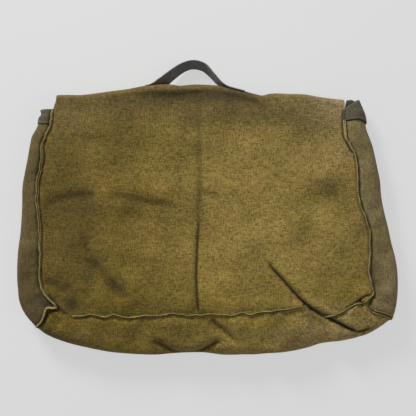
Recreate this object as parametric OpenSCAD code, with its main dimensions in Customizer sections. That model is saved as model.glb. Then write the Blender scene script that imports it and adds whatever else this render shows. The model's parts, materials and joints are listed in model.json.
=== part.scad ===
// Canvas mail satchel, lying on its front with the back panel upwards.
// X runs across the bag, Y from its bottom towards the handle, Z up from the surface it lies on.
// The origin is at the middle of the footprint, on that surface. Millimetres.

/* [Bag] */
// Width across the gusset folds, at the widest
bag_w = 512; // [490:1:540]
// Height from the bottom fold to the fold where the flap turns over
bag_h = 364; // [350:1:380]
// Width of the back and front panels between their seams, at the bottom
panel_w = 442; // [420:1:450]
// How much narrower each side of the panels is at the mouth
panel_taper = 25; // [0:1:30]
// Radius of the bottom corners of the panels
panel_corner = 25; // [15:1:35]
// Height of the back panel above the surface, where the bag is thickest
bag_t = 42; // [38:1:50]
// Height of the fold at the top of the bag
fold_t = 30; // [28:1:32]
// How far the mouth lies to the left of the base
mouth_shift = 10; // [0:1:14]

/* [Cloth] */
// Thickness of the canvas
canvas = 1.4; // [1:0.1:1.6]
// Thickness of a hem's turned-in layer
hem_t = 1.2; // [0.8:0.1:1.4]
// Width of the hems
hem_w = 18; // [12:1:22]
// Width of the standing seams
welt_w = 3; // [2:0.5:4]
// Height of the standing seams above the cloth
welt_h = 3.5; // [2:0.5:5]

/* [Flap] */
// Width of the flap
flap_w = 386; // [360:1:388]
// Height of the flap's lower edge above the bottom fold
flap_end = 104; // [100:1:150]
// Radius of the flap's lower corners
flap_corner = 14; // [5:1:30]
// Distance of each press stud from the middle of the flap
stud_x = 120; // [60:1:150]
// Distance of the press studs from the flap's lower edge
stud_edge = 26; // [22:1:40]

/* [Handle] */
// Width of the handle's webbing
webbing_w = 20; // [16:1:24]
// Thickness of the handle's webbing
webbing_t = 1.6; // [1.2:0.1:1.6]
// Distance between the handle's two legs
handle_span = 92; // [80:1:130]
// Length of webbing sewn to the fold at each end of the handle
handle_sewn = 32; // [24:1:40]
// How far the handle's loop stands out past the fold
handle_rise = 33; // [28:1:45]
// Tilt of the webbing at the top of the loop
handle_tilt = 55; // [30:1:60]

/* [Hidden] */
$fn = 48;

// Levels along Y.
y_base = -(bag_h + handle_rise) / 2;     // bottom fold
y_fold = y_base + bag_h;                 // fold at the top of the bag
y_seam = y_base + 53.5;                  // seam between the panels and the bottom gusset
y_wide = y_base + 98.5;                  // where the bag is widest
y_mouth = y_fold - 35;                   // top of the gussets
y_front = y_fold - 26;                   // top of the front panel
y_hinge = y_fold - 8;                    // where the flap starts to turn over
y_flap = y_base + flap_end;              // lower edge of the flap
y_stud = y_flap + stud_edge;

// Levels along Z.
front_z = 6.8;                           // outer face of the front panel, over the flap
flap_z = 1.8;                            // outer face of the flap
hinge_gap = 1;                           // clearance from a fold's axis to the cloth that stays still
hinge_start = 0.3;                       // distance from a fold's axis to the cloth that turns
fold_r = 5;                              // radius of the turns at the fold
layer_gap = 0.05;                        // clearance between layers that lie on each other
front_start = 21;                        // how far above the bottom seam the front panel starts to rise
front_run = 36;                          // how far it then takes to rise over the flap

// Shape of the gussets.
fold_taper = 41;                         // how much each fold comes in by the mouth
fold_corner = 60;                        // radius of the bottom corners of the outline
seam_curve = 2.2;                        // how late the seams come in towards the mouth
fold_curve = 1.7;                        // how late the folds come in towards the mouth
lean_start = 108;                        // where the bag starts to lean to the left, above the bottom fold
lean_run = 110;                          // how far it takes to lean by mouth_shift
corner_x = panel_w / 2 - panel_corner;   // centre of the bottom corners
corner_drop = 23;                        // rise of the bottom fold from its middle to a corner
back_drop = 4;                           // how far the back panel comes down at the bottom seam
wave = [for (k = [0:10]) k * 18];        // angles round a gusset, from the back seam to the front seam
corner_steps = [0, 15, 30, 43, 45, 47, 60, 75, 90];
side_steps = 12;
bottom_steps = 8;
mitre = side_steps + 4;                  // index of the station at a corner's seam

olive = [0.42, 0.36, 0.17];
grey_olive = [0.34, 0.30, 0.17];
dark_olive = [0.27, 0.25, 0.17];
charcoal = [0.19, 0.18, 0.16];
aged_brass = [0.48, 0.41, 0.25];

flap_x = -mouth_shift;                   // the flap's middle
handle_x = flap_x - 8;                   // the handle's middle

function smooth(t) = let (c = min(max(t, 0), 1)) c * c * (3 - 2 * c);
function lean(y) = -mouth_shift * smooth((y - y_base - lean_start) / lean_run);

// Outer faces of the panels at a level y.
function back_level(y) =
    bag_t - (bag_t - fold_t) * pow(max(0, y / y_hinge), 2)
    - back_drop * pow(max(0, (y_wide - y) / (y_wide - y_seam)), 2);
function front_level(y) = front_z * smooth((y - y_seam - front_start) / front_run);

// Half widths between the seams and between the gusset folds.
function seam_half(y) = panel_w / 2 - panel_taper * pow(max(0, (y - y_seam) / (y_mouth - y_seam)), seam_curve);
function fold_half(y) = bag_w / 2 - fold_taper * pow(max(0, (y - y_wide) / (y_mouth - y_wide)), fold_curve);

// Stations round the bag from the mouth to the middle of the bottom, on the side +1 or -1.
// Each is a point on the seam and a point on the fold.
function half_stations(side) =
    let (y_c = y_seam + panel_corner, y_o = y_base + corner_drop + fold_corner)
    concat(
        [for (k = [0:side_steps - 1])
            let (t = k / side_steps, ys = y_mouth + t * (y_c - y_mouth), yo = y_mouth + t * (y_o - y_mouth))
            [[lean(ys) + side * seam_half(ys), ys], [lean(yo) + side * fold_half(yo), yo]]],
        [for (a = corner_steps)
            [[side * (corner_x + panel_corner * cos(a)), y_c - panel_corner * sin(a)],
             [side * (corner_x + (bag_w / 2 - corner_x) * cos(a)), y_o - fold_corner * sin(a)]]],
        [for (k = [1:bottom_steps])
            let (x = corner_x * (1 - k / bottom_steps))
            [[side * x, y_seam], [side * x, y_base + corner_drop * pow(x / corner_x, 2)]]]
    );

left_half = half_stations(-1);
right_half = half_stations(1);
last = len(left_half) - 1;
// From the left side of the mouth, round the bottom, to the right side of the mouth.
stations = concat(left_half, [for (k = [1:last]) right_half[last - k]]);
mitre_right = 2 * last - mitre;

function outward(st) = (st[1] - st[0]) / norm(st[1] - st[0]);

// A point of a gusset: angle 0 is at the back seam, 180 at the front seam.
// off is the distance outside the gusset's outer face, and bulge what is added to it half way.
function gusset_point(st, angle, off, bulge) =
    let (u = outward(st), reach = norm(st[1] - st[0]) - welt_w / 2, proud = off + bulge * sin(angle),
         zb = back_level(st[0].y), zf = front_level(st[0].y),
         p = st[0] + u * (welt_w / 2 + (reach + proud) * sin(angle)))
    [p.x, p.y, (zb + zf) / 2 + ((zb - zf) / 2 + proud) * cos(angle)];

// A point beside a seam, on the panel's side (-1) or on the gusset's side (+1).
function beside_seam(st, side, z) =
    let (p = st[0] + outward(st) * side * welt_w / 2) [p.x, p.y, z];

// A closed solid between two grids of points of the same size.
module between(top, under) {
    rows = len(top);
    cols = len(top[0]);
    size = rows * cols;
    points = concat([for (row = top) each row], [for (row = under) each row]);
    function at(r, c) = r * cols + c;
    faces = concat(
        [for (r = [0:rows - 2], c = [0:cols - 2]) each
            [[at(r, c), at(r, c + 1), at(r + 1, c + 1)], [at(r, c), at(r + 1, c + 1), at(r + 1, c)]]],
        [for (r = [0:rows - 2], c = [0:cols - 2]) each
            [[size + at(r, c), size + at(r + 1, c + 1), size + at(r, c + 1)],
             [size + at(r, c), size + at(r + 1, c), size + at(r + 1, c + 1)]]],
        [for (r = [0:rows - 2], c = [0, cols - 1])
            let (a = at(r, c), b = at(r + 1, c))
            each (c == 0 ? [[a, b, size + b], [a, size + b, size + a]]
                         : [[b, a, size + a], [b, size + a, size + b]])],
        [for (r = [0, rows - 1], c = [0:cols - 2])
            let (a = at(r, c), b = at(r, c + 1))
            each (r == 0 ? [[b, a, size + a], [b, size + a, size + b]]
                         : [[a, b, size + b], [a, size + b, size + a]])]
    );
    polyhedron(points, faces);
}

// A stretch of gusset from station a to station b, between two distances outside its outer face.
module gusset_sheet(a, b, off_out, off_in, bulge = 0) {
    between(
        [for (k = [a:b]) [for (w = wave) gusset_point(stations[k], w, off_out, bulge)]],
        [for (k = [a:b]) [for (w = wave) gusset_point(stations[k], w, off_in, 0)]]
    );
}

// The standing seam where a side gusset meets the bottom gusset.
module corner_welt(middle) {
    color(olive) gusset_sheet(middle - 1, middle + 1, 0, -canvas, welt_h);
}

// A standing seam along the back or the front, from station a to station b.
module back_welt(a, b) {
    between(
        [for (k = [a:b]) let (st = stations[k], z = back_level(st[0].y) + welt_h)
            [beside_seam(st, -1, z), beside_seam(st, 1, z)]],
        [for (k = [a:b]) let (st = stations[k], z = back_level(st[0].y) - canvas)
            [beside_seam(st, -1, z), beside_seam(st, 1, z)]]
    );
}

module front_welt(a, b) {
    between(
        [for (k = [a:b]) let (st = stations[k], z = front_level(st[0].y) + canvas)
            [beside_seam(st, -1, z), beside_seam(st, 1, z)]],
        [for (k = [a:b]) let (st = stations[k], z = max(0, front_level(st[0].y) - welt_h))
            [beside_seam(st, -1, z), beside_seam(st, 1, z)]]
    );
}

// Rows across a panel, from its top down: [y of the level, left point, right point].
function panel_rows(top_levels) = concat(
    [for (y = top_levels) [y, [flap_x - flap_w / 2, y], [flap_x + flap_w / 2, y]]],
    [for (k = [0:side_steps + len(corner_steps) - 1])
        let (l = stations[k], r = stations[2 * last - k])
        [l[0].y, l[0] - outward(l) * welt_w / 2, r[0] - outward(r) * welt_w / 2]]
);

module back_panel() {
    step = 9;
    rows = panel_rows([y_hinge - hinge_gap, y_hinge - step, y_hinge - 2 * step]);
    color(olive)
    between(
        [for (r = rows) [for (p = [r[1], r[2]]) [p.x, p.y, back_level(r[0])]]],
        [for (r = rows) [for (p = [r[1], r[2]]) [p.x, p.y, back_level(r[0]) - canvas]]]
    );
}

module front_panel() {
    rows = panel_rows([y_front]);
    color(olive)
    difference() {
        between(
            [for (r = rows) [for (p = [r[1], r[2]]) [p.x, p.y, front_level(r[0]) + canvas]]],
            [for (r = rows) [for (p = [r[1], r[2]]) [p.x, p.y, front_level(r[0])]]]
        );
        for (side = [-1, 1]) stud_hole(side, front_z - 1, canvas + 2, post_r + hole_gap);
    }
}

module stud_hole(side, z, h, r) {
    translate([flap_x + side * stud_x, y_stud, z]) cylinder(h = h, r = r);
}

module mouth_hem() {
    margin = 2;
    color(dark_olive)
    translate([flap_x - flap_w / 2 + margin, y_front - hem_w, front_z + canvas + layer_gap])
        cube([flap_w - 2 * margin, hem_w, hem_t]);
}

// The turned-over band at the top of a gusset.
module gusset_hem(a, b) {
    color(dark_olive) gusset_sheet(a, b, hem_t, 0);
}

// Press stud, on the front panel: the stud, and its backing ring inside the bag.
post_r = 1.5;
head_r = 1.9;
flange_r = 5.5;
backing_r = 5;
backing_h = 0.8;
hole_gap = 0.1;                          // clearance of the cloth's holes round a post
module stud(side) {
    rivet = front_z + canvas + backing_h;
    color(aged_brass)
    translate([flap_x + side * stud_x, y_stud, 0])
        rotate_extrude()
            polygon([
                [0, rivet], [post_r, rivet], [post_r, front_z], [flange_r, front_z],
                [flange_r, front_z - 0.6], [1.4, front_z - 0.6], [1.4, front_z - 1.2],
                [head_r, front_z - 1.6], [head_r, front_z - 1.9], [1.3, front_z - 2.3], [0, front_z - 2.3]
            ]);
}

module stud_backing(side) {
    color(aged_brass)
    difference() {
        stud_hole(side, front_z + canvas + layer_gap, backing_h, backing_r);
        stud_hole(side, front_z, canvas + 2, post_r + layer_gap);
    }
}

// Press stud, on the flap: the cap, and the socket with its two spring wires inside.
rivet_r = 1.9;
socket_z = flap_z + canvas + layer_gap;
socket_h = 2.7;
socket_r = 5.4;
wire_r = 0.25;
wire_l = 8.4;
wire_y = head_r + wire_r + 0.15;         // the wires pass the stud's head with this clearance
wire_z = socket_z + 1.75;

module snap_cap(side) {
    color(aged_brass)
    translate([flap_x + side * stud_x, y_stud, 0])
        rotate_extrude()
            polygon([
                [0, 0.2], [3.5, 0.25], [5.6, 0.55], [6.5, 1.1], [6.5, flap_z - layer_gap],
                [rivet_r, flap_z - layer_gap], [rivet_r, socket_z + 0.9], [0, socket_z + 0.9]
            ]);
}

module snap_socket(side) {
    slot_h = 2 * wire_r + 0.2;
    slot_l = wire_l + 0.4;
    color(aged_brass)
    difference() {
        stud_hole(side, socket_z, socket_h, socket_r);
        stud_hole(side, socket_z - 1, socket_h + 2, head_r + 0.4);
        translate([flap_x + side * stud_x, y_stud, wire_z - slot_h / 2])
            linear_extrude(slot_h) square([slot_l, 2 * wire_y + slot_h], center = true);
    }
}

module snap_spring(side) {
    color("silver")
    translate([flap_x + side * stud_x, y_stud, wire_z])
        for (s = [-1, 1])
            translate([-wire_l / 2, s * wire_y, 0])
                rotate([0, 90, 0]) cylinder(h = wire_l, r = wire_r, $fn = 24);
}

// The cloth between the back panel and the flap, seen from the side, then drawn across the bag.
module flap_top() {
    zt = fold_t - fold_r;
    zb = flap_z + fold_r;
    function turn(grow) = let (r = fold_r + grow) concat(
        [[y_hinge + hinge_start, zt + r]],
        [for (a = [90:-15:0]) [y_fold - fold_r + r * cos(a), zt + r * sin(a)]],
        [for (a = [0:-15:-90]) [y_fold - fold_r + r * cos(a), zb + r * sin(a)]],
        [[y_hinge + hinge_start, zb - r]]
    );
    outer = turn(0);
    inner = turn(-canvas);
    outline = concat(outer, [for (k = [len(inner) - 1:-1:0]) inner[k]]);
    color(olive)
    translate([flap_x - flap_w / 2, 0, 0])
        rotate([90, 0, 90])
            linear_extrude(flap_w) polygon(outline);
}

// The flap lies under the front panel, with its outer face down.
module flap() {
    color(olive)
    difference() {
        translate([flap_x, 0, flap_z]) linear_extrude(canvas) flap_outline();
        for (side = [-1, 1]) stud_hole(side, 0, 10, rivet_r + hole_gap);
    }
}

module flap_outline() {
    w = flap_w / 2;
    polygon(concat(
        [[w, y_hinge - hinge_gap], [-w, y_hinge - hinge_gap]],
        [for (a = [180:15:270])
            [-w + flap_corner + flap_corner * cos(a), y_flap + flap_corner + flap_corner * sin(a)]],
        [for (a = [270:15:360])
            [w - flap_corner + flap_corner * cos(a), y_flap + flap_corner + flap_corner * sin(a)]]
    ));
}

hem_inset = 0.5;                         // how far the flap's hems stay inside its edges
module flap_side_hem(side) {
    length = y_hinge - 4 - y_flap - hem_w;
    color(olive)
    translate([flap_x + side * (flap_w / 2 - hem_w / 2 - hem_inset), y_flap + hem_w + length / 2, socket_z + hem_t / 2])
        cube([hem_w, length, hem_t], center = true);
}

module flap_lower_hem() {
    color(olive)
    translate([flap_x, 0, socket_z])
        linear_extrude(hem_t)
            intersection() {
                flap_outline();
                translate([-flap_w / 2, y_flap + hem_inset]) square([flap_w, hem_w - hem_inset - 0.1]);
            }
}

// Handle: an end sewn flat on the fold at each side, a patch behind it, and the loop that swings.
sewn_gap = 0.4;                          // how far the sewn ends stay clear of the turns of the fold
sewn_z = flap_z + fold_r + sewn_gap;
sewn_h = fold_t - flap_z - 2 * (fold_r + sewn_gap);
sewn_x = handle_span / 2 - webbing_w / 2 + handle_sewn / 2;

module handle_patch(side) {
    margin = 4;
    color(dark_olive)
    translate([handle_x + side * sewn_x, y_fold - canvas - layer_gap - hem_t / 2, sewn_z + sewn_h / 2])
        cube([handle_sewn + 2 * margin, hem_t, sewn_h], center = true);
}

module handle_end(side) {
    color(charcoal)
    translate([handle_x + side * sewn_x, y_fold + layer_gap + webbing_t / 2, sewn_z + sewn_h / 2])
        cube([handle_sewn, webbing_t, sewn_h], center = true);
}

// Half of the loop's middle line: a Bezier curve from the top of a leg to the crest.
swing_gap = 1.1;                         // from the outer face of the sewn ends to the swing axis
leg_stiff = 16;                          // how far the legs run straight out of the fold
crest_share = 0.28;                      // how wide the crest is, as a share of the span
swing_y = y_fold + webbing_t + swing_gap;
swing_z = sewn_z + sewn_h / 2;
crest_y = -y_base - webbing_w / 2 * cos(handle_tilt) - webbing_t / 2 * sin(handle_tilt);
crest_z = webbing_w / 2 * sin(handle_tilt) + webbing_t / 2 * cos(handle_tilt);
function leg(t) =
    let (a = [handle_span / 2, swing_y + hinge_start], b = [handle_span / 2, swing_y + leg_stiff],
         c = [handle_span * crest_share, crest_y], d = [0, crest_y], s = 1 - t)
    s * s * s * a + 3 * s * s * t * b + 3 * s * t * t * c + t * t * t * d;

// The webbing's cross-section at a point of the loop: flat at the legs, tilted at the crest.
function webbing_section(p, tangent) =
    let (rise = smooth((p.y - swing_y) / (crest_y - swing_y)),
         tilt = handle_tilt * rise,
         across = [-tangent.y * cos(tilt), tangent.x * cos(tilt), sin(tilt)],
         up = [tangent.y * sin(tilt), -tangent.x * sin(tilt), cos(tilt)],
         middle = [p.x + handle_x, p.y, swing_z + (crest_z - swing_z) * rise])
    [for (s = [-1, 1]) [middle + s * across * webbing_w / 2 + up * webbing_t / 2,
                        middle + s * across * webbing_w / 2 - up * webbing_t / 2]];

module handle_loop() {
    steps = 14;
    left = [for (k = [0:steps]) let (p = leg(k / steps)) [-p.x, p.y]];
    line = concat(left, [for (k = [steps - 1:-1:0]) leg(k / steps)]);
    n = len(line) - 1;
    sections = [for (k = [0:n])
        let (along = line[min(k + 1, n)] - line[max(k - 1, 0)],
             tangent = (k == 0) ? [0, 1] : (k == n) ? [0, -1] : along / norm(along))
        webbing_section(line[k], tangent)];
    color(charcoal)
    between(
        [for (s = sections) [s[1][0], s[0][0]]],
        [for (s = sections) [s[1][1], s[0][1]]]
    );
}

back_panel();
front_panel();
color(grey_olive) gusset_sheet(0, mitre - 1, 0, -canvas);  // left_gusset
color(olive) gusset_sheet(mitre + 1, mitre_right - 1, 0, -canvas);  // bottom_gusset
color(grey_olive) gusset_sheet(mitre_right + 1, 2 * last, 0, -canvas);  // right_gusset
color(olive) back_welt(0, mitre);  // back_left_welt
color(olive) back_welt(mitre, mitre_right);  // back_bottom_welt
color(olive) back_welt(mitre_right, 2 * last);  // back_right_welt
color(olive) front_welt(0, mitre);  // front_left_welt
color(olive) front_welt(mitre, mitre_right);  // front_bottom_welt
color(olive) front_welt(mitre_right, 2 * last);  // front_right_welt
corner_welt(mitre);  // left_corner_welt
corner_welt(mitre_right);  // right_corner_welt
gusset_hem(0, 1);  // left_gusset_hem
gusset_hem(2 * last - 1, 2 * last);  // right_gusset_hem
mouth_hem();
stud(-1);  // left_stud
stud(1);  // right_stud
stud_backing(-1);  // left_stud_backing
stud_backing(1);  // right_stud_backing
flap_top();
flap();
flap_side_hem(-1);  // flap_left_hem
flap_side_hem(1);  // flap_right_hem
flap_lower_hem();
snap_cap(-1);  // left_snap_cap
snap_cap(1);  // right_snap_cap
snap_socket(-1);  // left_snap_socket
snap_socket(1);  // right_snap_socket
snap_spring(-1);  // left_snap_spring
snap_spring(1);  // right_snap_spring
handle_patch(-1);  // left_handle_patch
handle_patch(1);  // right_handle_patch
handle_end(-1);  // left_handle_end
handle_end(1);  // right_handle_end
handle_loop();
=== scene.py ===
"""A flat canvas mail satchel that lies on its front, seen from straight above.

Shapes are worked out in millimetres in the frame of the CAD model, and turned into metres
when a mesh is made. Cloth is a grid of points: rows run down the bag, columns run across it.
"""
import json
import math
from collections import namedtuple

import bpy
import numpy as np
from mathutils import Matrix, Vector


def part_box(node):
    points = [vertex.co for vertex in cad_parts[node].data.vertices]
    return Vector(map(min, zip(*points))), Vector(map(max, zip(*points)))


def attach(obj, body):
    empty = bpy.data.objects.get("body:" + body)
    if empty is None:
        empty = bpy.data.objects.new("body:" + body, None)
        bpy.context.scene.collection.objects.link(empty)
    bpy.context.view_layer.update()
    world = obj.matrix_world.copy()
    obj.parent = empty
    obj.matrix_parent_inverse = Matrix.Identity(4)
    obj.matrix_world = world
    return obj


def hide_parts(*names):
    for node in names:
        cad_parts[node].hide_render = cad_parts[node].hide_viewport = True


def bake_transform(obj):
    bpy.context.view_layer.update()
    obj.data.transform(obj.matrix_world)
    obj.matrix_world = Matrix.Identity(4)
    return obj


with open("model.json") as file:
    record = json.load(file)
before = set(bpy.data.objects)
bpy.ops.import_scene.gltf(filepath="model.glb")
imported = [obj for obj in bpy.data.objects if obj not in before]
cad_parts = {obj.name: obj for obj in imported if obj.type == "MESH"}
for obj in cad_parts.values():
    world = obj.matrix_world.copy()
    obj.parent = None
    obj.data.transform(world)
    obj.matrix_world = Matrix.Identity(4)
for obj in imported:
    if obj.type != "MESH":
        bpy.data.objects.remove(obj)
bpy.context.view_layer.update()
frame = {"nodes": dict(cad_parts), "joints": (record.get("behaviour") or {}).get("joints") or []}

MM = 0.001
SEED = 11

# ---------------------------------------------------------------- measures, in millimetres
CANVAS = 1.3                # thickness of the canvas
HEM = 1.2                   # thickness of a hem's turned-in layer
HEM_W = 18.0                # width of a hem
STRAP_W = 20.0              # width of the handle's webbing
STRAP_T = 1.7               # thickness of the handle's webbing
Y_HINGE = frame["joints"][0]["pos_m"][1] / MM   # the flap's first hinge, at the back panel's top edge
FLAP_LOW, FLAP_HIGH = ([v / MM for v in corner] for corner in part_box("flap"))
CROWN = 42.0                # how high the back panel stands in its middle
FRONT_Z = 6.8               # outer face of the front panel, over the flap
MID_FOLD_Z = 15.0           # where the back panel's cloth becomes the flap's, half way down the fold
FOLD_R = 9.0                # how far back from its outline the fold starts to turn

ROWS_FOLD = 10              # rows of the back panel's grid over the fold at the top
ROWS_TOP = 9                # rows from there to the side seams' upper ends
ROWS_SIDE = 104             # rows beside the side seams
COLS = 190                  # columns across the panels
COLS_GUSSET = 40            # columns round a gusset
# The columns' places from left to right, closer together by the left seam and over the right half.
COLUMNS = np.interp(np.linspace(0, 1, COLS + 1), [0, 0.06, 0.55, 1], [0, 0.04, 0.68, 1])

# Each side's seam and outline, from the mouth down to the corner: seam x, seam y, outline x, outline y.
LEFT = [
    (-206.5, 129.8, -223.7, 129.6), (-207, 124, -222.9, 124), (-207.6, 119, -226.2, 120),
    (-208.4, 113, -227.4, 113), (-209.8, 106, -231, 105), (-215, 94, -236.5, 94), (-219.5, 85, -239, 82),
    (-219, 72, -241.5, 68), (-222, 52, -245, 50), (-225.5, 33, -248.5, 30), (-225, 6, -249, 3),
    (-222.3, -24, -251, -28), (-222, -64, -255.5, -70), (-222.5, -98, -255.5, -108),
    (-218.5, -112, -253.5, -127), (-210, -123, -246, -144), (-201, -132.5, -231.5, -161),
]
BOTTOM = [
    (-201, -132.5, -231.5, -161), (-192, -141, -217, -171.5), (-178, -144.5, -194, -180.5),
    (-154, -142, -162, -188.5), (-138, -145, -145, -192), (-124, -142.5, -130, -194.5),
    (-107, -146, -112, -196.5), (-88, -144, -91, -198), (-64, -144, -66, -198.3), (-49, -141, -49, -196.6),
    (-26, -143.5, -26, -195.2), (-4, -142, -4, -195.2), (18, -142.5, 20, -198.2), (34, -142.5, 37, -198.4),
    (42, -139.5, 46, -198), (60, -142, 65, -198), (69, -139.5, 75, -197), (100, -136, 108, -194),
    (128, -132.5, 138, -187.5), (138, -135, 149, -184.5), (153, -142.5, 164, -182), (176, -141, 189, -178),
    (186, -135, 204, -174.5), (197, -129, 222, -167.5), (207, -128, 249, -149.5),
]
RIGHT = [
    (182.5, 130, 203.5, 142.5), (181.5, 118, 211, 124), (181.5, 104, 213.5, 106), (183.5, 92, 218.5, 92),
    (190, 81, 222, 82), (196.5, 71, 225, 70), (198.5, 56, 228, 56), (200, 34, 232, 36), (201, 12, 234, 12),
    (206.5, -6, 238, -8), (213.5, -23, 243, -27), (216.7, -41, 247.5, -47), (216, -66, 253, -68),
    (215.5, -88, 256, -90), (218.5, -104, 256, -116), (221, -115, 254.5, -131), (214, -120.5, 252.5, -140),
    (207, -128, 249, -149.5),
]
# The fold over the top of the bag, seen from above, from left to right.
FOLD = [
    (-202.5, 152), (-186, 152.2), (-172, 152), (-150, 154.5), (-128, 157.5), (-107, 160.2), (-88, 164),
    (-70, 166), (-48, 166.2), (-37, 164.6), (-24, 166), (2, 165.8), (16, 164.6), (30, 161.5), (49, 157.6),
    (66, 153), (74, 151.4), (82, 153.4), (111, 153.6), (131, 153), (152, 149.3), (170, 147), (183.5, 145.5),
]


# ---------------------------------------------------------------- curves and fields
# Patches of painted shade and light, which also take in the cloth's own stains: x, y, half width, half
# height, share lighter or darker.
PATCHES = [
    # painted shade under the fold at the top, lighter at its right end
    (0, 150, 90, 12, -0.65), (65, 125, 75, 20, -0.50), (-25, 120, 25, 22, -0.32),
    (-100, 140, 50, 14, -0.20), (150, 105, 45, 25, -0.22), (200, 125, 15, 10, 0.22),
    # the left half: painted shade and light, darkest along its seam and round its folds
    (-190, 0, 26, 120, -0.30), (-160, -5, 20, 40, -0.30), (-120, 55, 25, 20, -0.34),
    (-85, 80, 60, 20, -0.26), (-65, 25, 20, 12, 0.34), (-50, -45, 16, 12, -0.28),
    (-170, -45, 24, 10, -0.26), (-155, -85, 12, 20, -0.34), (-105, -85, 12, 10, 0.30),
    (-125, -105, 12, 14, -0.44), (-180, -110, 34, 26, -0.28), (-180, -130, 10, 10, -0.46),
    # beside the middle crease: painted shade on its left, painted light on its right
    (-10, 5, 6, 40, -0.28), (-25, -100, 12, 18, -0.24), (25, -60, 26, 46, 0.30),
    # the right half, darker in places down to the tuck, with a painted highlight at the tuck's end
    (85, 60, 20, 18, -0.24), (160, 25, 34, 20, -0.60), (130, -35, 34, 16, -0.32),
    (190, -100, 20, 20, -0.28), (85, -100, 18, 26, -0.30), (90, -145, 18, 16, -0.42),
    (199, -162.5, 4, 2, 0.7),
    # lighter along the bottom fold
    (-10, -188, 210, 15, 0.26), (170, -168, 45, 16, 0.60), (-125, -175, 45, 14, 0.40),
    (30, -175, 40, 14, 0.32),
    # the gussets
    (-215, -20, 10, 60, -0.22), (-210, -130, 10, 12, -0.52), (-210, -175, 20, 8, -0.35),
    (220, -88, 13, 16, -0.60), (230, -35, 18, 24, 0.26),
]


def shade_at(x, y):
    """How much painted shade and light, together with stains, make the cloth lighter or darker at a place."""
    total = np.zeros(np.shape(x))
    for cx, cy, rx, ry, gain in PATCHES:
        total = total + gain * np.exp(-(((x - cx) / rx) ** 2) - ((y - cy) / ry) ** 2)
    return total


def smooth(t):
    t = np.clip(t, 0, 1)
    return t * t * (3 - 2 * t)


def run_of(points):
    """Distance along a line at each of its points."""
    return np.concatenate([[0], np.cumsum(np.linalg.norm(np.diff(points, axis=0), axis=1))])


def unit(vectors):
    """Vectors of length 1 with the same directions."""
    return vectors / np.maximum(np.linalg.norm(vectors, axis=-1, keepdims=True), 1e-9)


def curve(points, places):
    """A smooth curve through points, whatever their dimension, at places from 0 to 1 along its length."""
    points = np.array(points, float)
    knots = run_of(points[:, :2])
    knots /= knots[-1]
    slopes = np.gradient(points, knots, axis=0)
    places = np.clip(np.asarray(places, float), 0, 1)
    k = np.clip(np.searchsorted(knots, places, side="right") - 1, 0, len(knots) - 2)
    width = (knots[k + 1] - knots[k])[:, None]
    t = ((places - knots[k]) / width[:, 0])[:, None]
    return (
        points[k] * (2 * t**3 - 3 * t**2 + 1) + slopes[k] * width * (t**3 - 2 * t**2 + t)
        + points[k + 1] * (3 * t**2 - 2 * t**3) + slopes[k + 1] * width * (t**3 - t**2)
    )


def waves(x, y, length, seed):
    """An uneven field of gentle waves about length long, roughly from -1 to 1."""
    count = 14
    rng = np.random.default_rng(SEED + seed)
    total = np.zeros(np.broadcast(x, y).shape)
    for _ in range(count):
        angle, phase = rng.uniform(0, 2 * np.pi, 2)
        k = 2 * np.pi / (length * rng.uniform(0.7, 1.5))
        total += np.sin(k * (x * np.cos(angle) + y * np.sin(angle)) + phase)
    return total * math.sqrt(2 / count) * 0.7


def nearest(x, y, path):
    """Signed distance from a path (positive on its left) and how far along it, from 0 to 1."""
    line = curve(path, np.linspace(0, 1, 60))
    best = np.full(x.shape, 1e9)
    side, along = np.zeros(x.shape), np.zeros(x.shape)
    for k in range(len(line) - 1):
        a, d = line[k], line[k + 1] - line[k]
        t = np.clip(((x - a[0]) * d[0] + (y - a[1]) * d[1]) / (d @ d), 0, 1)
        px, py = x - a[0] - t * d[0], y - a[1] - t * d[1]
        dist = np.hypot(px, py)
        closer = dist < best
        best = np.where(closer, dist, best)
        side = np.where(closer, np.sign(d[0] * py - d[1] * px), side)
        along = np.where(closer, (k + t) / (len(line) - 1), along)
    return best * np.where(side == 0, 1, side), along


def faded(along, start, end):
    """1 along a path, and 0 at its ends: start and end are the shares of its length that it takes to fade."""
    return smooth(along / start) * smooth((1 - along) / end)


def slopes(height, x, y):
    """How steeply height, a function of x and y, rises along x and along y."""
    step = 0.5
    along_x = (height(x + step, y) - height(x - step, y)) / (2 * step)
    along_y = (height(x, y + step) - height(x, y - step)) / (2 * step)
    return along_x, along_y
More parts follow.
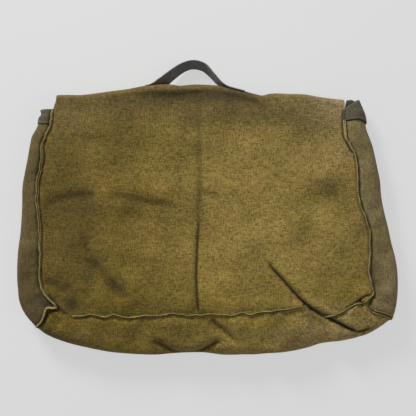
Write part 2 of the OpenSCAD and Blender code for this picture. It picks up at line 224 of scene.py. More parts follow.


# A crease: its path, half width, depth, the height of the lip on its left, the shares of its length that it
# takes to fade in and out, how dark with painted shade and dirt it is, that darkening's own half width, and
# how far it folds over.
Crease = namedtuple("Crease", "path width depth lip fade dirt line over", defaults=(None, 0))
CREASES = [
    # the tuck at the lower right, and its end beside the seam
    Crease([(70, -62), (88, -83), (101, -97), (114, -112), (130, -128), (141, -136), (158, -145.5),
            (176, -155), (194, -163.5), (202, -166), (209, -165.5)],
           3.0, 8.5, 3.4, (0.36, 0.14), 3.0, 2.3, 2.0),
    Crease([(198, -165.5), (206, -166), (215, -163), (227, -164)], 2.0, 2.6, 1.0, (0.2, 0.5), 1.2),
    # the middle, above and below
    Crease([(-9, 140), (-10, 90), (-9.5, 44), (-11, 8), (-13, -20)], 3.6, 1.9, 0.6, (0.3, 0.2), 0.34),
    Crease([(-11, 10), (-12, -24), (-14, -62), (-14.5, -104), (-12, -140)],
           1.9, 2.6, 0.8, (0.35, 0.04), 1.0, 2.0),
    # the bottom fold's two wrinkles
    Crease([(-80, -178.5), (-68, -180.5), (-55, -187.5), (-43, -194), (-26, -195.5), (-10, -192), (2, -186),
            (14, -179.5), (32, -180)], 4.0, 4.8, 1.6, (0.16, 0.22), 0.9, 2.4),
    Crease([(3, -146.5), (17, -160), (30, -171), (44, -185)], 3.8, 4.4, 1.4, (0.12, 0.3), 0.8, 2.0),
    # the lower left
    Crease([(-170, -66), (-154, -75.5), (-138, -87), (-127, -102), (-111, -116), (-102, -127)],
           7.0, 3.8, 1.2, (0.2, 0.2), 0.40),
    Crease([(-163, -36), (-160.5, -50), (-157, -68)], 4.0, 1.8, 0.6, (0.3, 0.3), 0.34),
    Crease([(-218, -98), (-206, -103), (-196, -108.5), (-184, -107), (-172, -104)],
           5.0, 2.2, 0.4, (0.06, 0.4), 0.42),
    # the long soft fold across the left half, and its trace right of the middle
    Crease([(-222, 3), (-209, 6.5), (-192, 12), (-175, 15), (-160, 15.5), (-144, 15)],
           6.5, 3.4, 0.8, (0.4, 0.2), 0.46),
    Crease([(-140, 15), (-126, 15.5), (-112, 14), (-95, 10.5), (-78, 6.5), (-50, 2.5), (-28, -2)],
           6.5, 2.4, 0.5, (0.2, 0.3), 0.42),
    Crease([(-8, 20), (6, 17.5), (26, 14)], 4.5, 1.4, 0.3, (0.1, 0.5), 0.34),
    # soft dents at the upper left, along the top and on the right
    Crease([(-158, 86), (-138, 87), (-118, 84)], 9.0, 1.3, 0.0, (0.3, 0.4), 0.1),
    Crease([(-130, 147), (-90, 150), (-56, 149), (0, 154), (40, 148), (62, 140), (86, 132)],
           6.0, 2.4, 0.3, (0.3, 0.15), 0.36),
    Crease([(124, -12), (132, -30), (128, -62), (143, -96)], 10.0, 1.6, 0.0, (0.3, 0.3), 0.1),
    # round the right corner
    Crease([(222, -117), (213, -117.5), (204, -122), (193, -131), (182, -138)],
           1.7, 3.0, 0.6, (0.1, 0.1), 0.9),
    Crease([(202, -121), (205, -127), (208, -133)], 2.2, 4.0, 0.6, (0.2, 0.2), 0.9),
    Crease([(225, -116), (220, -122), (215, -133)], 2.6, 4.0, 0.6, (0.2, 0.2), 0.8),
    Crease([(224, -95), (223, -106), (223, -116)], 3.2, 2.5, 0.0, (0.3, 0.1), 0.35),
    # round the left corner, the last one beside its mitred seam
    Crease([(-201, -134), (-193, -140), (-184, -144)], 2.6, 3.5, 0.6, (0.1, 0.3), 0.4),
    Crease([(-201, -136.5), (-211, -139.5), (-215.5, -146), (-221, -154.5), (-229.5, -162)],
           2.4, 2.0, 0.0, (0.05, 0.05), 1.3, 1.8),
]


def crease_height(x, y):
    """How far the creases move the cloth up or down, and how dark with painted shade and dirt they are."""
    z, dirt = np.zeros(x.shape), np.zeros(x.shape)
    for c in CREASES:
        d, along = nearest(x, y, c.path)
        fade = faded(along, *c.fade)
        z -= c.depth * fade * np.exp(-np.abs(d / c.width) ** 1.6)
        z += c.lip * fade * np.exp(-((d - 2.2 * c.width) / (1.6 * c.width)) ** 2)
        # painted shade along each crease's bottom, with some dirt
        dirt = np.maximum(dirt, c.dirt * fade * np.exp(-((d / (c.line or c.width * 0.9)) ** 2)))
    return z, dirt


def fold_over(x, y):
    """Moves the cloth beside an overlapping crease, so that its upper side hangs over its lower one."""
    reach = 1.6
    for c in CREASES:
        if not c.over:
            continue
        d, along = nearest(x, y, c.path)
        gx, gy = slopes(lambda u, v: nearest(u, v, c.path)[0], x, y)
        size = np.maximum(np.hypot(gx, gy), 0.3)
        t = d / c.width
        swing = np.sin(np.clip(t, -reach, reach) / reach * np.pi) * (np.abs(t) < reach)
        shift = -c.over * faded(along, *c.fade) * swing
        x, y = x + gx / size * shift, y + gy / size * shift
    return x, y


def gather(x, y):
    """Moves points sideways towards the sharp creases, so that the grid is fine where the cloth folds."""
    sharp, reach, ends = 3.5, 11.0, 0.12
    for c in CREASES:
        if c.width > sharp:
            continue
        d, along = nearest(x, y, c.path)
        gx, gy = slopes(lambda u, v: np.abs(nearest(u, v, c.path)[0]), x, y)
        inside = np.clip(np.abs(d) / reach, 0, 1)
        shift = (reach * inside**1.6 - np.abs(d)) * (inside < 1) * faded(along, ends, ends)
        x, y = x + gx * shift, y + gy * shift
    return x, y


def back_level(x, y):
    """The back panel's height without creases. It falls towards the mouth, the bottom and the sides."""
    mouth = 12.5 * np.clip(y / Y_HINGE, 0, 2) ** 2
    bottom = 4.0 * np.clip((-100 - y) / 45, 0, 2) ** 2
    sides = 6.5 * np.clip(np.abs(x + 6) / 222, 0, 1.05) ** 4 * smooth((165 - y) / 60)
    return CROWN - mouth - bottom - sides


def back_height(x, y):
    """The back panel's height, with its waves and creases, and the painted shade and dirt in the creases."""
    folds, dirt = crease_height(x, y)
    z = back_level(x, y)
    for seed, (size, length) in enumerate(((2.3, 95), (0.6, 42), (0.07, 16)), 1):
        z = z + size * waves(x, y, length, seed)
    return z + folds, dirt


# Channels on the panel's side of its seams, darkened with painted shade: path, half width, depth, how dark.
CHANNELS = [
    ([(-206, 131), (-206.5, 118), (-208.5, 106), (-214, 94.5), (-217.5, 85), (-217, 72), (-220, 52),
      (-223.5, 33), (-223, 6), (-220.5, -24), (-220, -64), (-220.5, -98), (-216, -112)], 1.3, 0.9, 0.35),
    ([(-214, -116), (-207, -123), (-199.5, -131.5), (-194, -137.5)], 1.5, 1.4, 0.75),
    ([(-150, -140.2), (-107, -144), (-49, -139.2), (-4, -140.2), (42, -137.7), (100, -134), (128, -131)],
     1.2, 0.7, 0.30),
    ([(181.5, 131), (180.3, 118), (180.3, 104), (182, 93), (187.5, 82), (194, 72)], 1.5, 1.6, 0.95),
    ([(194, 72), (197, 56), (198.3, 34), (199.3, 12), (204.8, -6), (211.5, -22), (215, -41), (214.2, -66)],
     1.2, 0.8, 0.40),
]


def channels(x, y):
    """How deep the channels beside the seams are, and how dark with painted shade."""
    z, dirt = np.zeros(x.shape), np.zeros(x.shape)
    for path, width, depth, dark in CHANNELS:
        d, along = nearest(x, y, path)
        ends = faded(along, 0.04, 0.04)
        z -= depth * ends * np.exp(-((d / width) ** 2))
        # painted shade in the channel
        dirt = np.maximum(dirt, dark * ends * np.exp(-((d / width) ** 2)))
    return z, dirt


def front_level(y):
    """The front panel's height: it lies on the flap, and on the floor below the flap's lower edge."""
    return FRONT_Z * smooth((y + 124) / 36)


# ---------------------------------------------------------------- meshes
def normals_of(grid):
    """Unit normals of a grid of points, up for a grid whose columns run to +X and rows to -Y."""
    across = np.gradient(grid, axis=1)
    down = np.gradient(grid, axis=0)
    return unit(np.cross(down, across))


def quads_of(n):
    """The faces of a grid whose points have the numbers n."""
    return np.stack([n[:-1, :-1], n[1:, :-1], n[1:, 1:], n[:-1, 1:]], axis=-1).reshape(-1, 4)


def tube_faces(rings, m, start=0):
    """The faces of a closed tube: rings of m points each, numbered from start."""
    quads = [[start + k * m + j, start + k * m + (j + 1) % m, start + (k + 1) * m + (j + 1) % m,
              start + (k + 1) * m + j] for k in range(rings - 1) for j in range(m)]
    return quads + [[start + j for j in range(m)][::-1], [start + (rings - 1) * m + j for j in range(m)]]


def add_object(name, data):
    obj = bpy.data.objects.new(name, data)
    bpy.context.scene.collection.objects.link(obj)
    return obj


def new_object(name, points, faces, material, attributes):
    """A piece of the bag, kept above the floor. Its materials also read its points' places at rest."""
    points = np.array(points, float)
    points[:, 2] = np.maximum(points[:, 2], 0)
    mesh = bpy.data.meshes.new(name)
    mesh.from_pydata((points * MM).tolist(), [], faces)
    mesh.validate()
    mesh.update()
    for key, values in {**attributes, "rest": points * MM}.items():
        values = np.asarray(values, np.float32)
        kind, part = ("FLOAT_VECTOR", "vector") if values.ndim == 2 else ("FLOAT", "value")
        mesh.attributes.new(key, kind, "POINT").data.foreach_set(part, values.ravel())
    mesh.polygons.foreach_set("use_smooth", np.ones(len(mesh.polygons), bool))
    mesh.materials.append(material)
    return add_object(name, mesh)


def cloth(name, outer, material, flat, mark=None, thickness=CANVAS, flip=False, open_start=False,
          inner_shade=0.0):
    """A closed sheet: outer is its outer face, and its inner face lies thickness below that.

    flat holds each point's place on the flat cloth, in millimetres, for the weave. open_start is for a sheet
    whose first row meets another sheet's, so that its edge stays square there. inner_shade paints shade on
    its inside.
    """
    rows, cols = outer.shape[:2]
    n = normals_of(outer) * (-1 if flip else 1)
    inner = outer - n * thickness
    flat3 = np.dstack([flat, np.zeros((rows, cols))]) * MM
    mark = np.zeros((rows, cols)) if mark is None else mark
    ring = [(0, c) for c in range(cols)] + [(r, cols - 1) for r in range(1, rows)]
    ring += [(rows - 1, c) for c in range(cols - 2, -1, -1)] + [(r, 0) for r in range(rows - 2, 0, -1)]
    # The rim: a row of points round the edge, half way between the faces and a little further out.
    rim = []
    for r, c in ring:
        r_in, c_in = min(max(r, 1), rows - 2), min(max(c, 1), cols - 2)
        away = unit(outer[r, c] - outer[r_in, c_in]) * (0 if open_start and r == 0 else 1)
        rim.append((outer[r, c] + inner[r, c]) / 2 + away * thickness * 0.35)
    points = np.concatenate([outer.reshape(-1, 3), inner.reshape(-1, 3), np.array(rim)])
    size = rows * cols
    idx = np.arange(size).reshape(rows, cols)
    quads = quads_of(idx)
    if flip:
        quads = quads[:, ::-1]
    faces = quads.tolist() + (quads[:, ::-1] + size).tolist()
    count = len(ring)
    for k in range(count):
        a, b = idx[ring[k]], idx[ring[(k + 1) % count]]
        ra, rb = 2 * size + k, 2 * size + (k + 1) % count
        upper, lower = [a, b, rb, ra], [ra, rb, b + size, a + size]
        faces += [upper[::-1], lower[::-1]] if flip else [upper, lower]
    ring_rows, ring_cols = map(list, zip(*ring))
    attributes = {
        "shade": shade_at(points[:, 0], points[:, 1]),
        "flat": np.concatenate([flat3.reshape(-1, 3)] * 2 + [flat3[ring_rows, ring_cols]]),
        # the inner face carries painted shade
        "mark": np.concatenate([mark.ravel(), np.full(size, inner_shade), mark[ring_rows, ring_cols]]),
    }
    obj = new_object(name, points, [list(map(int, f)) for f in faces], material, attributes)
    if open_start:
        first = set(idx[0].tolist()) | set((idx[0] + size).tolist())
        for edge in obj.data.edges:
            edge.use_edge_sharp = edge.vertices[0] in first and edge.vertices[1] in first
    return obj


def ridge(name, path, sides, tops, heights, feet, up=1.0, thick=0.62, sink=2.2):
    """A standing seam: two plies side by side along path.

    tops and heights give, for each ply, how far its edge leans to the side and how high it stands along the
    path. feet gives how far the plies' turned-out feet reach on either side; they are painted dark as shade
    along the seam.
    """
    apart, end_run = 0.36, 3.0
    n = len(path)
    run = run_of(path)
    ends = np.clip(np.minimum(run, run[-1] - run) / end_run, 0.12, 1)
    # Each ply's section, from its foot over its edge to its inner side: side, level, share of the foot, and a
    # mark that is painted shade on the feet and inner sides (above 0), and wear with a painted highlight
    # along the edge (below 0).
    section = [(-1, -sink, 1.0, 0.8), (-1, 0.02, 1.0, 0.7), (-1, 0.05, 0.4, 1.2), (-1, 0.16, 0.0, 0.9),
               (-1, 0.45, 0.0, 0.15), (-1, 0.82, 0.0, -0.15), (-0.55, 0.97, 0.0, -0.5), (0, 1.0, 0.0, -0.6),
               (0.55, 0.97, 0.0, -0.5), (1, 0.82, 0.0, 0.1), (1, 0.45, 0.0, 0.8), (1, 0.0, 0.0, 1.1),
               (1, -sink, 0.0, 1.1)]
    m = len(section)
    points, faces, flat, mark = [], [], [], []
    for ply, way in enumerate((1, -1)):
        base = -way * apart
        start = len(points)
        top = np.broadcast_to(tops[ply], (n,))
        tall = np.broadcast_to(heights[ply], (n,)) * ends
        foot = np.broadcast_to(feet[ply], (n,))
        for k in range(n):
            for j, (edge, level, share, dirt) in enumerate(section):
                q = max(level, 0.0)
                out = base + (top[k] - base) * q**1.5 + way * edge * (thick / 2 + share * foot[k])
                height = tall[k] * q if level >= 0 else level
                points.append(path[k] + [sides[k, 0] * out, sides[k, 1] * out, up * height])
                flat.append((run[k] * MM, (j + ply * 20) * 0.9 * MM, 0))
                mark.append(dirt)
        quads = tube_faces(n, m, start)
        faces += quads if ply == 0 else [q[::-1] for q in quads]
    return new_object(name, points, faces, SEAM, {"flat": flat, "mark": mark})


def ribbon(name, centre, across, width, thick, material):
    """A flat strap: across is the direction of its width along its middle line. Its left end is brown."""
    along = unit(np.gradient(centre, axis=0))
    across = unit(across - along * (across * along).sum(axis=1, keepdims=True))
    face = np.cross(along, across)
    steps = np.linspace(-1, 1, 15)
    section = [(u, 1 - 0.25 * (abs(u) > 0.9)) for u in steps]
    section += [(u, -v) for u, v in section[::-1]]
    n, m = len(centre), len(section)
    run = run_of(centre)
    points, flat, mark = [], [], []
    brown_end, brown_run = -64, 24
    for k in range(n):
        sag = 0.35 * math.sin(run[k] * 0.09)
        for u, v in section:
            points.append(centre[k] + across[k] * u * width / 2
                          + face[k] * (v * thick / 2 + sag * (u * u - 0.3)))
            flat.append((run[k] * MM, u * width / 2 * MM, 0))
            mark.append(1 - smooth((centre[k, 0] - brown_end) / brown_run))
    faces = [[q[0]] + q[:0:-1] for q in tube_faces(n, m)]
    return new_object(name, points, faces, material, {"flat": flat, "mark": mark})


def mesh_from_parts(name, parts, material):
    """One object from several (points, faces) pairs."""
    points, faces = [], []
    for p, f in parts:
        start = sum(len(q) for q in points)
        points.append(np.asarray(p, float))
        faces += [[start + i for i in face] for face in f]
    points = np.concatenate(points)
    return new_object(name, points, faces, material, {"flat": points * MM, "mark": np.zeros(len(points))})


def stitch(centre, along, up, length, radius):
    """One stitch: a short rounded thread that dips into the cloth at both ends."""
    along = unit(along)
    out = unit(np.cross(up, along))
    points, sides = [], 6
    # Rings along the thread: place, radius and height, as shares of its length and radius.
    rings = ((-0.5, 0.45, -0.5), (-0.3, 0.95, 0.15), (0, 1.0, 0.35), (0.3, 0.95, 0.15), (0.5, 0.45, -0.5))
    for t, r, lift in rings:
        for k in range(sides):
            a = 2 * math.pi * k / sides
            points.append(centre + along * t * length + up * radius * lift
                          + (out * math.cos(a) + up * math.sin(a)) * radius * r)
    return points, tube_faces(len(rings), sides)


def stitch_row(line, ups, pitch=3.4, length=2.5, radius=0.28, seed=0):
    """Stitches along a line of points, each with the direction away from the cloth."""
    rng = np.random.default_rng(SEED + 100 + seed)
    run = run_of(line)
    parts = []
    for s in np.arange(pitch * 0.7, run[-1] - pitch * 0.5, pitch):
        s += rng.uniform(-0.15, 0.15)
        ends = [np.array([np.interp(v, run, line[:, i]) for i in range(3)]) for v in (s - 0.6, s + 0.6)]
        up = unit(np.array([np.interp(s, run, ups[:, i]) for i in range(3)]))
        side = np.cross(up, ends[1] - ends[0])
        centre = (ends[0] + ends[1]) / 2 + side * rng.uniform(-0.08, 0.08)
        parts.append(stitch(centre, ends[1] - ends[0], up, length * rng.uniform(0.9, 1.1), radius))
    return parts


# ---------------------------------------------------------------- materials
def node(tree, kind, values=None, **settings):
    n = tree.nodes.new(kind)
    for key, value in settings.items():
        setattr(n, key, value)
    for key, value in (values or {}).items():
        n.inputs[key].default_value = value
    return n


def linked(tree, n, inputs):
    """Gives a node its inputs by number: a socket is linked, and anything else is a value."""
    for key, value in inputs.items():
        if isinstance(value, bpy.types.NodeSocket):
            tree.links.new(value, n.inputs[key])
        else:
            n.inputs[key].default_value = value
    return n


def mix(tree, blend, factor, a, b):
    m = node(tree, "ShaderNodeMix", data_type="RGBA", blend_type=blend)
    return linked(tree, m, {0: factor, 6: a, 7: b}).outputs[2]


def math_node(tree, operation, a, b=0.5, clamp=False):
    m = node(tree, "ShaderNodeMath", operation=operation, use_clamp=clamp)
    return linked(tree, m, {0: a, 1: b}).outputs[0]


def weighed(tree, *terms):
    """The sum of (socket, weight) pairs."""
    parts = [math_node(tree, "MULTIPLY", socket, weight) for socket, weight in terms]
    result = parts[0]
    for part in parts[1:]:
        result = math_node(tree, "ADD", result, part)
    return result


def attribute(tree, name, output="Fac"):
    return node(tree, "ShaderNodeAttribute", attribute_name=name).outputs[output]


def parts_of(tree, vector):
    """The x, y and z of a vector."""
    return linked(tree, node(tree, "ShaderNodeSeparateXYZ"), {0: vector}).outputs


def rise(tree, value, start, end):
    """0 where value is at start, 1 where it is at end, and smooth between."""
    r = node(tree, "ShaderNodeMapRange", interpolation_type="SMOOTHSTEP")
    return linked(tree, r, {0: value, 1: start, 2: end, 3: 0.0, 4: 1.0}).outputs[0]


def field(tree, coordinates, scale, detail=2.0, rough=0.5, seed=0.0):
    """Noise about 0.5 whose grains are 1/scale long along each direction."""
    mapping = node(tree, "ShaderNodeMapping", {"Scale": scale, "Location": (seed, seed * 1.7, seed * 0.6)})
    tree.links.new(coordinates, mapping.inputs["Vector"])
    n = node(tree, "ShaderNodeTexNoise", {"Scale": 1.0, "Detail": detail, "Roughness": rough})
    tree.links.new(mapping.outputs[0], n.inputs["Vector"])
    return n.outputs["Fac"]


def ramp(tree, value, stops):
    r = node(tree, "ShaderNodeValToRGB")
    tree.links.new(value, r.inputs[0])
    elements = r.color_ramp.elements
    while len(elements) < len(stops):
        elements.new(0.5)
    for e, (place, colour) in zip(elements, stops):
        e.position = place
        e.color = (*colour, 1)
    return r.outputs[0]


def grey(v):
    return (v, v, v)


WHITE = grey(1.0)


def times(tree, colour, value, stops):
    """The colour, multiplied by a ramp of value."""
    return mix(tree, "MULTIPLY", 1.0, colour, ramp(tree, value, stops))


def bump(tree, height, strength, distance):
    b = node(tree, "ShaderNodeBump", {"Strength": strength, "Distance": distance})
    tree.links.new(height, b.inputs["Height"])
    return b.outputs[0]


def new_material(name):
    material = bpy.data.materials.new(name)
    material.use_nodes = True
    material.node_tree.nodes.clear()
    return material, material.node_tree


def surface(tree, values, **sockets):
    """The material's shader: values for its plain inputs, and sockets for those that nodes drive."""
    shader = node(tree, "ShaderNodeBsdfPrincipled", values)
    for key, socket in sockets.items():
        tree.links.new(socket, shader.inputs[key.replace("_", " ")])
    tree.links.new(shader.outputs[0], node(tree, "ShaderNodeOutputMaterial").inputs[0])


def canvas_material(name, dark, light, tint=None, contrast=1.0, patchy=1.0, relief=1.0):
    """Coarse linen canvas: slubby yarns both ways, blotches, stains, dirt and wear, with painted shade and
    light in patches, in creases and by the seams, and painted highlights on the seams' edges.
    """
    material, t = new_material(name)
    flat, rest, mark = attribute(t, "flat", "Vector"), attribute(t, "rest", "Vector"), attribute(t, "mark")
    warp = field(t, flat, (760, 170, 1), 1.0, 0.5, 3.1)
    weft = field(t, flat, (170, 760, 1), 1.0, 0.5, 7.7)
    slub = field(t, flat, (800, 520, 1), 1.0, 0.5, 1.3)
    slub_across = field(t, flat, (520, 800, 1), 1.0, 0.5, 9.2)
    yarn = weighed(t, (warp, 0.33), (weft, 0.33), (slub, 0.17), (slub_across, 0.17))
    half = 0.125 / contrast
    colour = ramp(t, yarn, [(0.5 - half, dark), (0.5 + half, light)])
    blotch = field(t, rest, (13, 13, 13), 2.0, 0.5, 2.2)
    colour = times(t, colour, blotch, [(0.32, grey(1 - 0.16 * patchy)), (0.68, grey(1 + 0.12 * patchy))])
    spots = field(t, rest, (40, 40, 40), 2.0, 0.5, 5.5)
    colour = times(t, colour, spots, [(0.35, grey(1 - 0.03 * patchy)), (0.7, grey(1 + 0.03 * patchy))])
    hue = field(t, rest, (34, 34, 34), 2.0, 0.6, 8.8)
    colour = times(t, colour, hue, [(0.35, (0.975, 1.0, 0.95)), (0.65, (1.03, 0.995, 1.07))])
    if tint:
        colour = tint(t, rest, colour)
    # painted shade and light in patches, together with stains, from the shade attribute
    shade = math_node(t, "ADD", math_node(t, "MULTIPLY", attribute(t, "shade"), 0.5), 0.5)
    colour = times(t, colour, shade, [
        (0.0, grey(0.0)), (0.35, (0.70, 0.70, 0.63)), (0.5, WHITE), (1.0, grey(2.0))])
    # painted shade in creases, channels, seam feet, under hems and inside gussets, with some dirt: darker and
    # warmer, near black where deepest as painted shadow
    dirt = math_node(t, "MAXIMUM", mark, 0.0)
    # wear, and painted highlights along the seams' edges, make it paler
    wear_and_highlight = math_node(t, "MAXIMUM", math_node(t, "MULTIPLY", mark, -1.0), 0.0)
    colour = times(t, colour, dirt, [(0.0, WHITE), (0.6, (0.46, 0.43, 0.26))])
    black = math_node(t, "MULTIPLY", math_node(t, "SUBTRACT", dirt, 0.5), 1.6, True)
    colour = mix(t, "MIX", black, colour, (0.013, 0.010, 0.004, 1))
    worn_highlight = tuple(min(1.0, v * 1.35 + 0.02) for v in light)
    colour = mix(t, "MIX", math_node(t, "MULTIPLY", wear_and_highlight, 0.9, True), colour, (*worn_highlight, 1))
    values = {"Roughness": 0.93, "Specular IOR Level": 0.22, "Sheen Weight": 0.06, "Sheen Roughness": 0.6}
    surface(t, values, Base_Color=colour, Normal=weave_bump(t, flat, yarn, relief))
    return material


def weave_bump(t, flat, yarn, strength):
    """A plain weave's relief with the yarns' unevenness on top, as a normal."""
    pitch = 0.0011
    u, v, _ = parts_of(t, flat)
    along_u = math_node(t, "SINE", math_node(t, "MULTIPLY", u, math.pi / pitch))
    along_v = math_node(t, "SINE", math_node(t, "MULTIPLY", v, math.pi / pitch))
    over = math_node(t, "MULTIPLY", along_u, along_v)
    return bump(t, weighed(t, (over, 0.35), (yarn, 1.9)), min(1.0, 0.6 * strength), 0.00045)


def panel_tint(t, rest, colour):
    """The panel is lighter and more ochre right of its middle, darker at its left and greyer at its edges."""
    x, y, _ = parts_of(t, rest)
    across = rise(t, x, -0.15, 0.10)
    low = rise(t, y, -0.150, -0.174)
    low_left = math_node(t, "MULTIPLY", low, rise(t, x, -0.06, -0.17))
    right_corner = math_node(t, "MULTIPLY", rise(t, y, -0.115, -0.150), rise(t, x, 0.05, 0.20))
    off_middle = rise(t, math_node(t, "ABSOLUTE", x), 0.07, 0.19)
    top_ends = math_node(t, "MULTIPLY", rise(t, y, 0.02, 0.13), off_middle)
    colour = times(t, colour, across, [
        (0.0, (0.72, 0.685, 0.445)), (0.5, (0.945, 0.93, 0.86)), (1.0, (1.15, 1.14, 1.18))])
    colour = times(t, colour, rise(t, y, 0.085, 0.150), [(0.0, WHITE), (1.0, (0.84, 0.84, 1.09))])
    colour = times(t, colour, low, [(0.0, WHITE), (1.0, (0.82, 0.82, 0.99))])
    colour = times(t, colour, low_left, [(0.0, WHITE), (1.0, (1.0, 1.0, 1.25))])
    colour = times(t, colour, right_corner, [(0.0, WHITE), (0.7, (1.03, 1.03, 1.75))])
    colour = times(t, colour, top_ends, [(0.0, WHITE), (1.0, (0.98, 1.0, 1.45))])
    return times(t, colour, rise(t, y, -0.05, -0.14), [(0.0, WHITE), (1.0, (1.0, 1.0, 0.76))])


def webbing_material(name, dark, light):
    """Dense webbing: ribs across it, a fine twill, and a brown root at its left end."""
    material, t = new_material(name)
    flat = attribute(t, "flat", "Vector")
    u, v, _ = parts_of(t, flat)
    ribs = math_node(t, "SINE", math_node(t, "MULTIPLY", u, 2 * math.pi / 0.0011))
    slant = math_node(t, "ADD", u, math_node(t, "MULTIPLY", v, 0.8))
    twill = math_node(t, "SINE", math_node(t, "MULTIPLY", slant, 2 * math.pi / 0.0019))
    fuzz = field(t, flat, (500, 260, 1), 2.0, 0.6, 4.4)
    patch = field(t, flat, (60, 60, 1), 2.0, 0.5, 1.1)
    colour = ramp(t, weighed(t, (twill, 0.10), (fuzz, 0.6), (patch, 0.4)), [(0.3, dark), (0.72, light)])
    colour = times(t, colour, attribute(t, "mark"), [(0.0, WHITE), (1.0, (1.5, 1.03, 0.80))])
    height = math_node(t, "ADD", weighed(t, (ribs, 0.4), (twill, 0.5)), fuzz)
    values = {"Roughness": 0.8, "Specular IOR Level": 0.3, "Sheen Weight": 0.12, "Sheen Roughness": 0.5}
    surface(t, values, Base_Color=colour, Normal=bump(t, height, 0.6, 0.0003))
    return material


def metal_material(name, dark, light, rough):
    """Dull metal with tarnish in patches and fine scratches."""
    material, t = new_material(name)
    place = node(t, "ShaderNodeTexCoord").outputs["Object"]
    tarnish = field(t, place, (420, 420, 420), 4.0, 0.6, 2.0)
    scratch = field(t, place, (3000, 260, 900), 2.0, 0.5, 6.0)
    surface(t, {"Metallic": 1.0}, Base_Color=ramp(t, tarnish, [(0.35, dark), (0.65, light)]),
            Roughness=math_node(t, "ADD", math_node(t, "MULTIPLY", scratch, 0.25), rough - 0.1),
            Normal=bump(t, scratch, 0.25, 0.0001))
    return material


def floor_material(tone=0.14, glow=3.95):
    """A pale floor that glows a little, so that the object's shadow on it stays faint."""
    material, t = new_material("studio_floor")
    place = node(t, "ShaderNodeTexCoord").outputs["Object"]
    colour = ramp(t, field(t, place, (3, 3, 3), 2.0, 0.5, 1.0), [(0.3, grey(tone)), (0.7, grey(tone * 1.01))])
    values = {"Emission Strength": glow, "Roughness": 0.9, "Specular IOR Level": 0.1}
    surface(t, values, Base_Color=colour, Emission_Color=colour)
    return material


# Each canvas has the colours of its darkest and its lightest yarns.
PANEL_DARK, PANEL_LIGHT = (0.104, 0.070, 0.0085), (0.279, 0.203, 0.054)
PANEL = canvas_material("panel_canvas", PANEL_DARK, PANEL_LIGHT, panel_tint, contrast=1.3)
FLAP = canvas_material("flap_canvas", PANEL_DARK, PANEL_LIGHT)
GUSSET_LEFT = canvas_material("left_gusset_canvas", (0.045, 0.033, 0.0095), (0.124, 0.090, 0.027),
                              patchy=0.8)
GUSSET_RIGHT = canvas_material("right_gusset_canvas", (0.088, 0.067, 0.026), (0.232, 0.181, 0.073),
                               patchy=0.8)
SEAM = canvas_material("seam_canvas", (0.13, 0.098, 0.027), (0.295, 0.232, 0.070), contrast=0.9)
HEM_CLOTH = canvas_material("hem_canvas", (0.033, 0.029, 0.017), (0.090, 0.078, 0.048), patchy=0.7)
THREAD = canvas_material("thread", (0.10, 0.085, 0.04), (0.25, 0.21, 0.11), contrast=0.5, relief=0.3)
WEBBING = webbing_material("handle_webbing", (0.044, 0.043, 0.043), (0.156, 0.153, 0.150))
BRASS = metal_material("aged_brass", (0.13, 0.095, 0.042), (0.34, 0.26, 0.125), 0.62)
STEEL = metal_material("spring_steel", (0.25, 0.25, 0.25), (0.55, 0.55, 0.54), 0.3)


# ---------------------------------------------------------------- the seams' stations
def seam_run(stations):
    """Distance along the seam at each of its stations."""
    return run_of(stations[:, :2])


left_stations = curve(LEFT, np.linspace(0, 1, ROWS_SIDE + 1))
bottom_stations = curve(BOTTOM, COLUMNS)
right_stations = curve(RIGHT, np.linspace(0, 1, ROWS_SIDE + 1))


def coons(top, bottom, left, right):
    """A grid of points in the plane between four edges."""
    u = COLUMNS[None, :, None]
    v = np.linspace(0, 1, len(left))[:, None, None]
    edges = (1 - v) * top[None] + v * bottom[None] + (1 - u) * left[:, None] + u * right[:, None]
    return (edges - (1 - u) * (1 - v) * top[0] - u * (1 - v) * top[-1]
            - (1 - u) * v * bottom[0] - u * v * bottom[-1])


def corner_bend(x, y):
    """The left corner's seam runs level before it turns down, the right one sags, and the mouth arches."""
    near = np.exp(-((x + 212) ** 2 + (y + 142) ** 2) / 8.5**2)
    sag = np.exp(-((x - 222) ** 2 + (y + 137) ** 2) / 10.0**2)
    arch = np.exp(-(((x - 195) / 7) ** 2) - ((y - 145) / 4.5) ** 2)
    return x - 3.5 * near, y + 8.5 * near - 3.5 * sag + 2.2 * arch


def back_panel_grid():
    """The back panel's grid: first the turn over the fold, then down to the bottom seam."""
    fold = curve(FOLD, COLUMNS)
    top = fold - [0, FOLD_R]
    left_top = np.linspace(top[0], left_stations[0, :2], ROWS_TOP + 1)[:-1]
    right_top = np.linspace(top[-1], right_stations[0, :2], ROWS_TOP + 1)[:-1]
    left = np.concatenate([left_top, left_stations[:, :2]])
    right = np.concatenate([right_top, right_stations[:, :2]])
    xy = coons(top, bottom_stations[:, :2], left, right)
    x, y = gather(xy[..., 0], xy[..., 1])
    x[:, [0, -1]], y[:, [0, -1]] = xy[:, [0, -1], 0], xy[:, [0, -1], 1]
    x[[0, -1]], y[[0, -1]] = xy[[0, -1], :, 0], xy[[0, -1], :, 1]
    z, dirt = back_height(x, y)
    groove, channel_shade = channels(x, y)
    z, dirt = z + groove, np.maximum(dirt, channel_shade)
    x, y = fold_over(x, y)
    panel = np.dstack([x, y, z])
    turn = []
    for k in range(ROWS_FOLD):
        a = (1 - k / ROWS_FOLD) * np.pi / 2
        ty = top[:, 1] + FOLD_R * np.sin(a) ** 0.9
        tz = MID_FOLD_Z + (z[0] - MID_FOLD_Z) * np.cos(a)
        turn.append(np.column_stack([top[:, 0], ty, tz]))
    grid = np.concatenate([np.array(turn), panel])
    dirt = np.concatenate([np.repeat(dirt[:1], ROWS_FOLD, axis=0), dirt])
    return grid, dirt


def flat_of(grid, turn=0):
    """Places on the flat cloth: x and y as they lie, with the turn over the fold, if any, rolled out."""
    flat = grid[..., :2].copy()
    for row in range(turn - 1, -1, -1):
        step = np.linalg.norm(grid[row] - grid[row + 1], axis=1)
        flat[row, :, 1] = flat[row + 1, :, 1] + step
    return flat


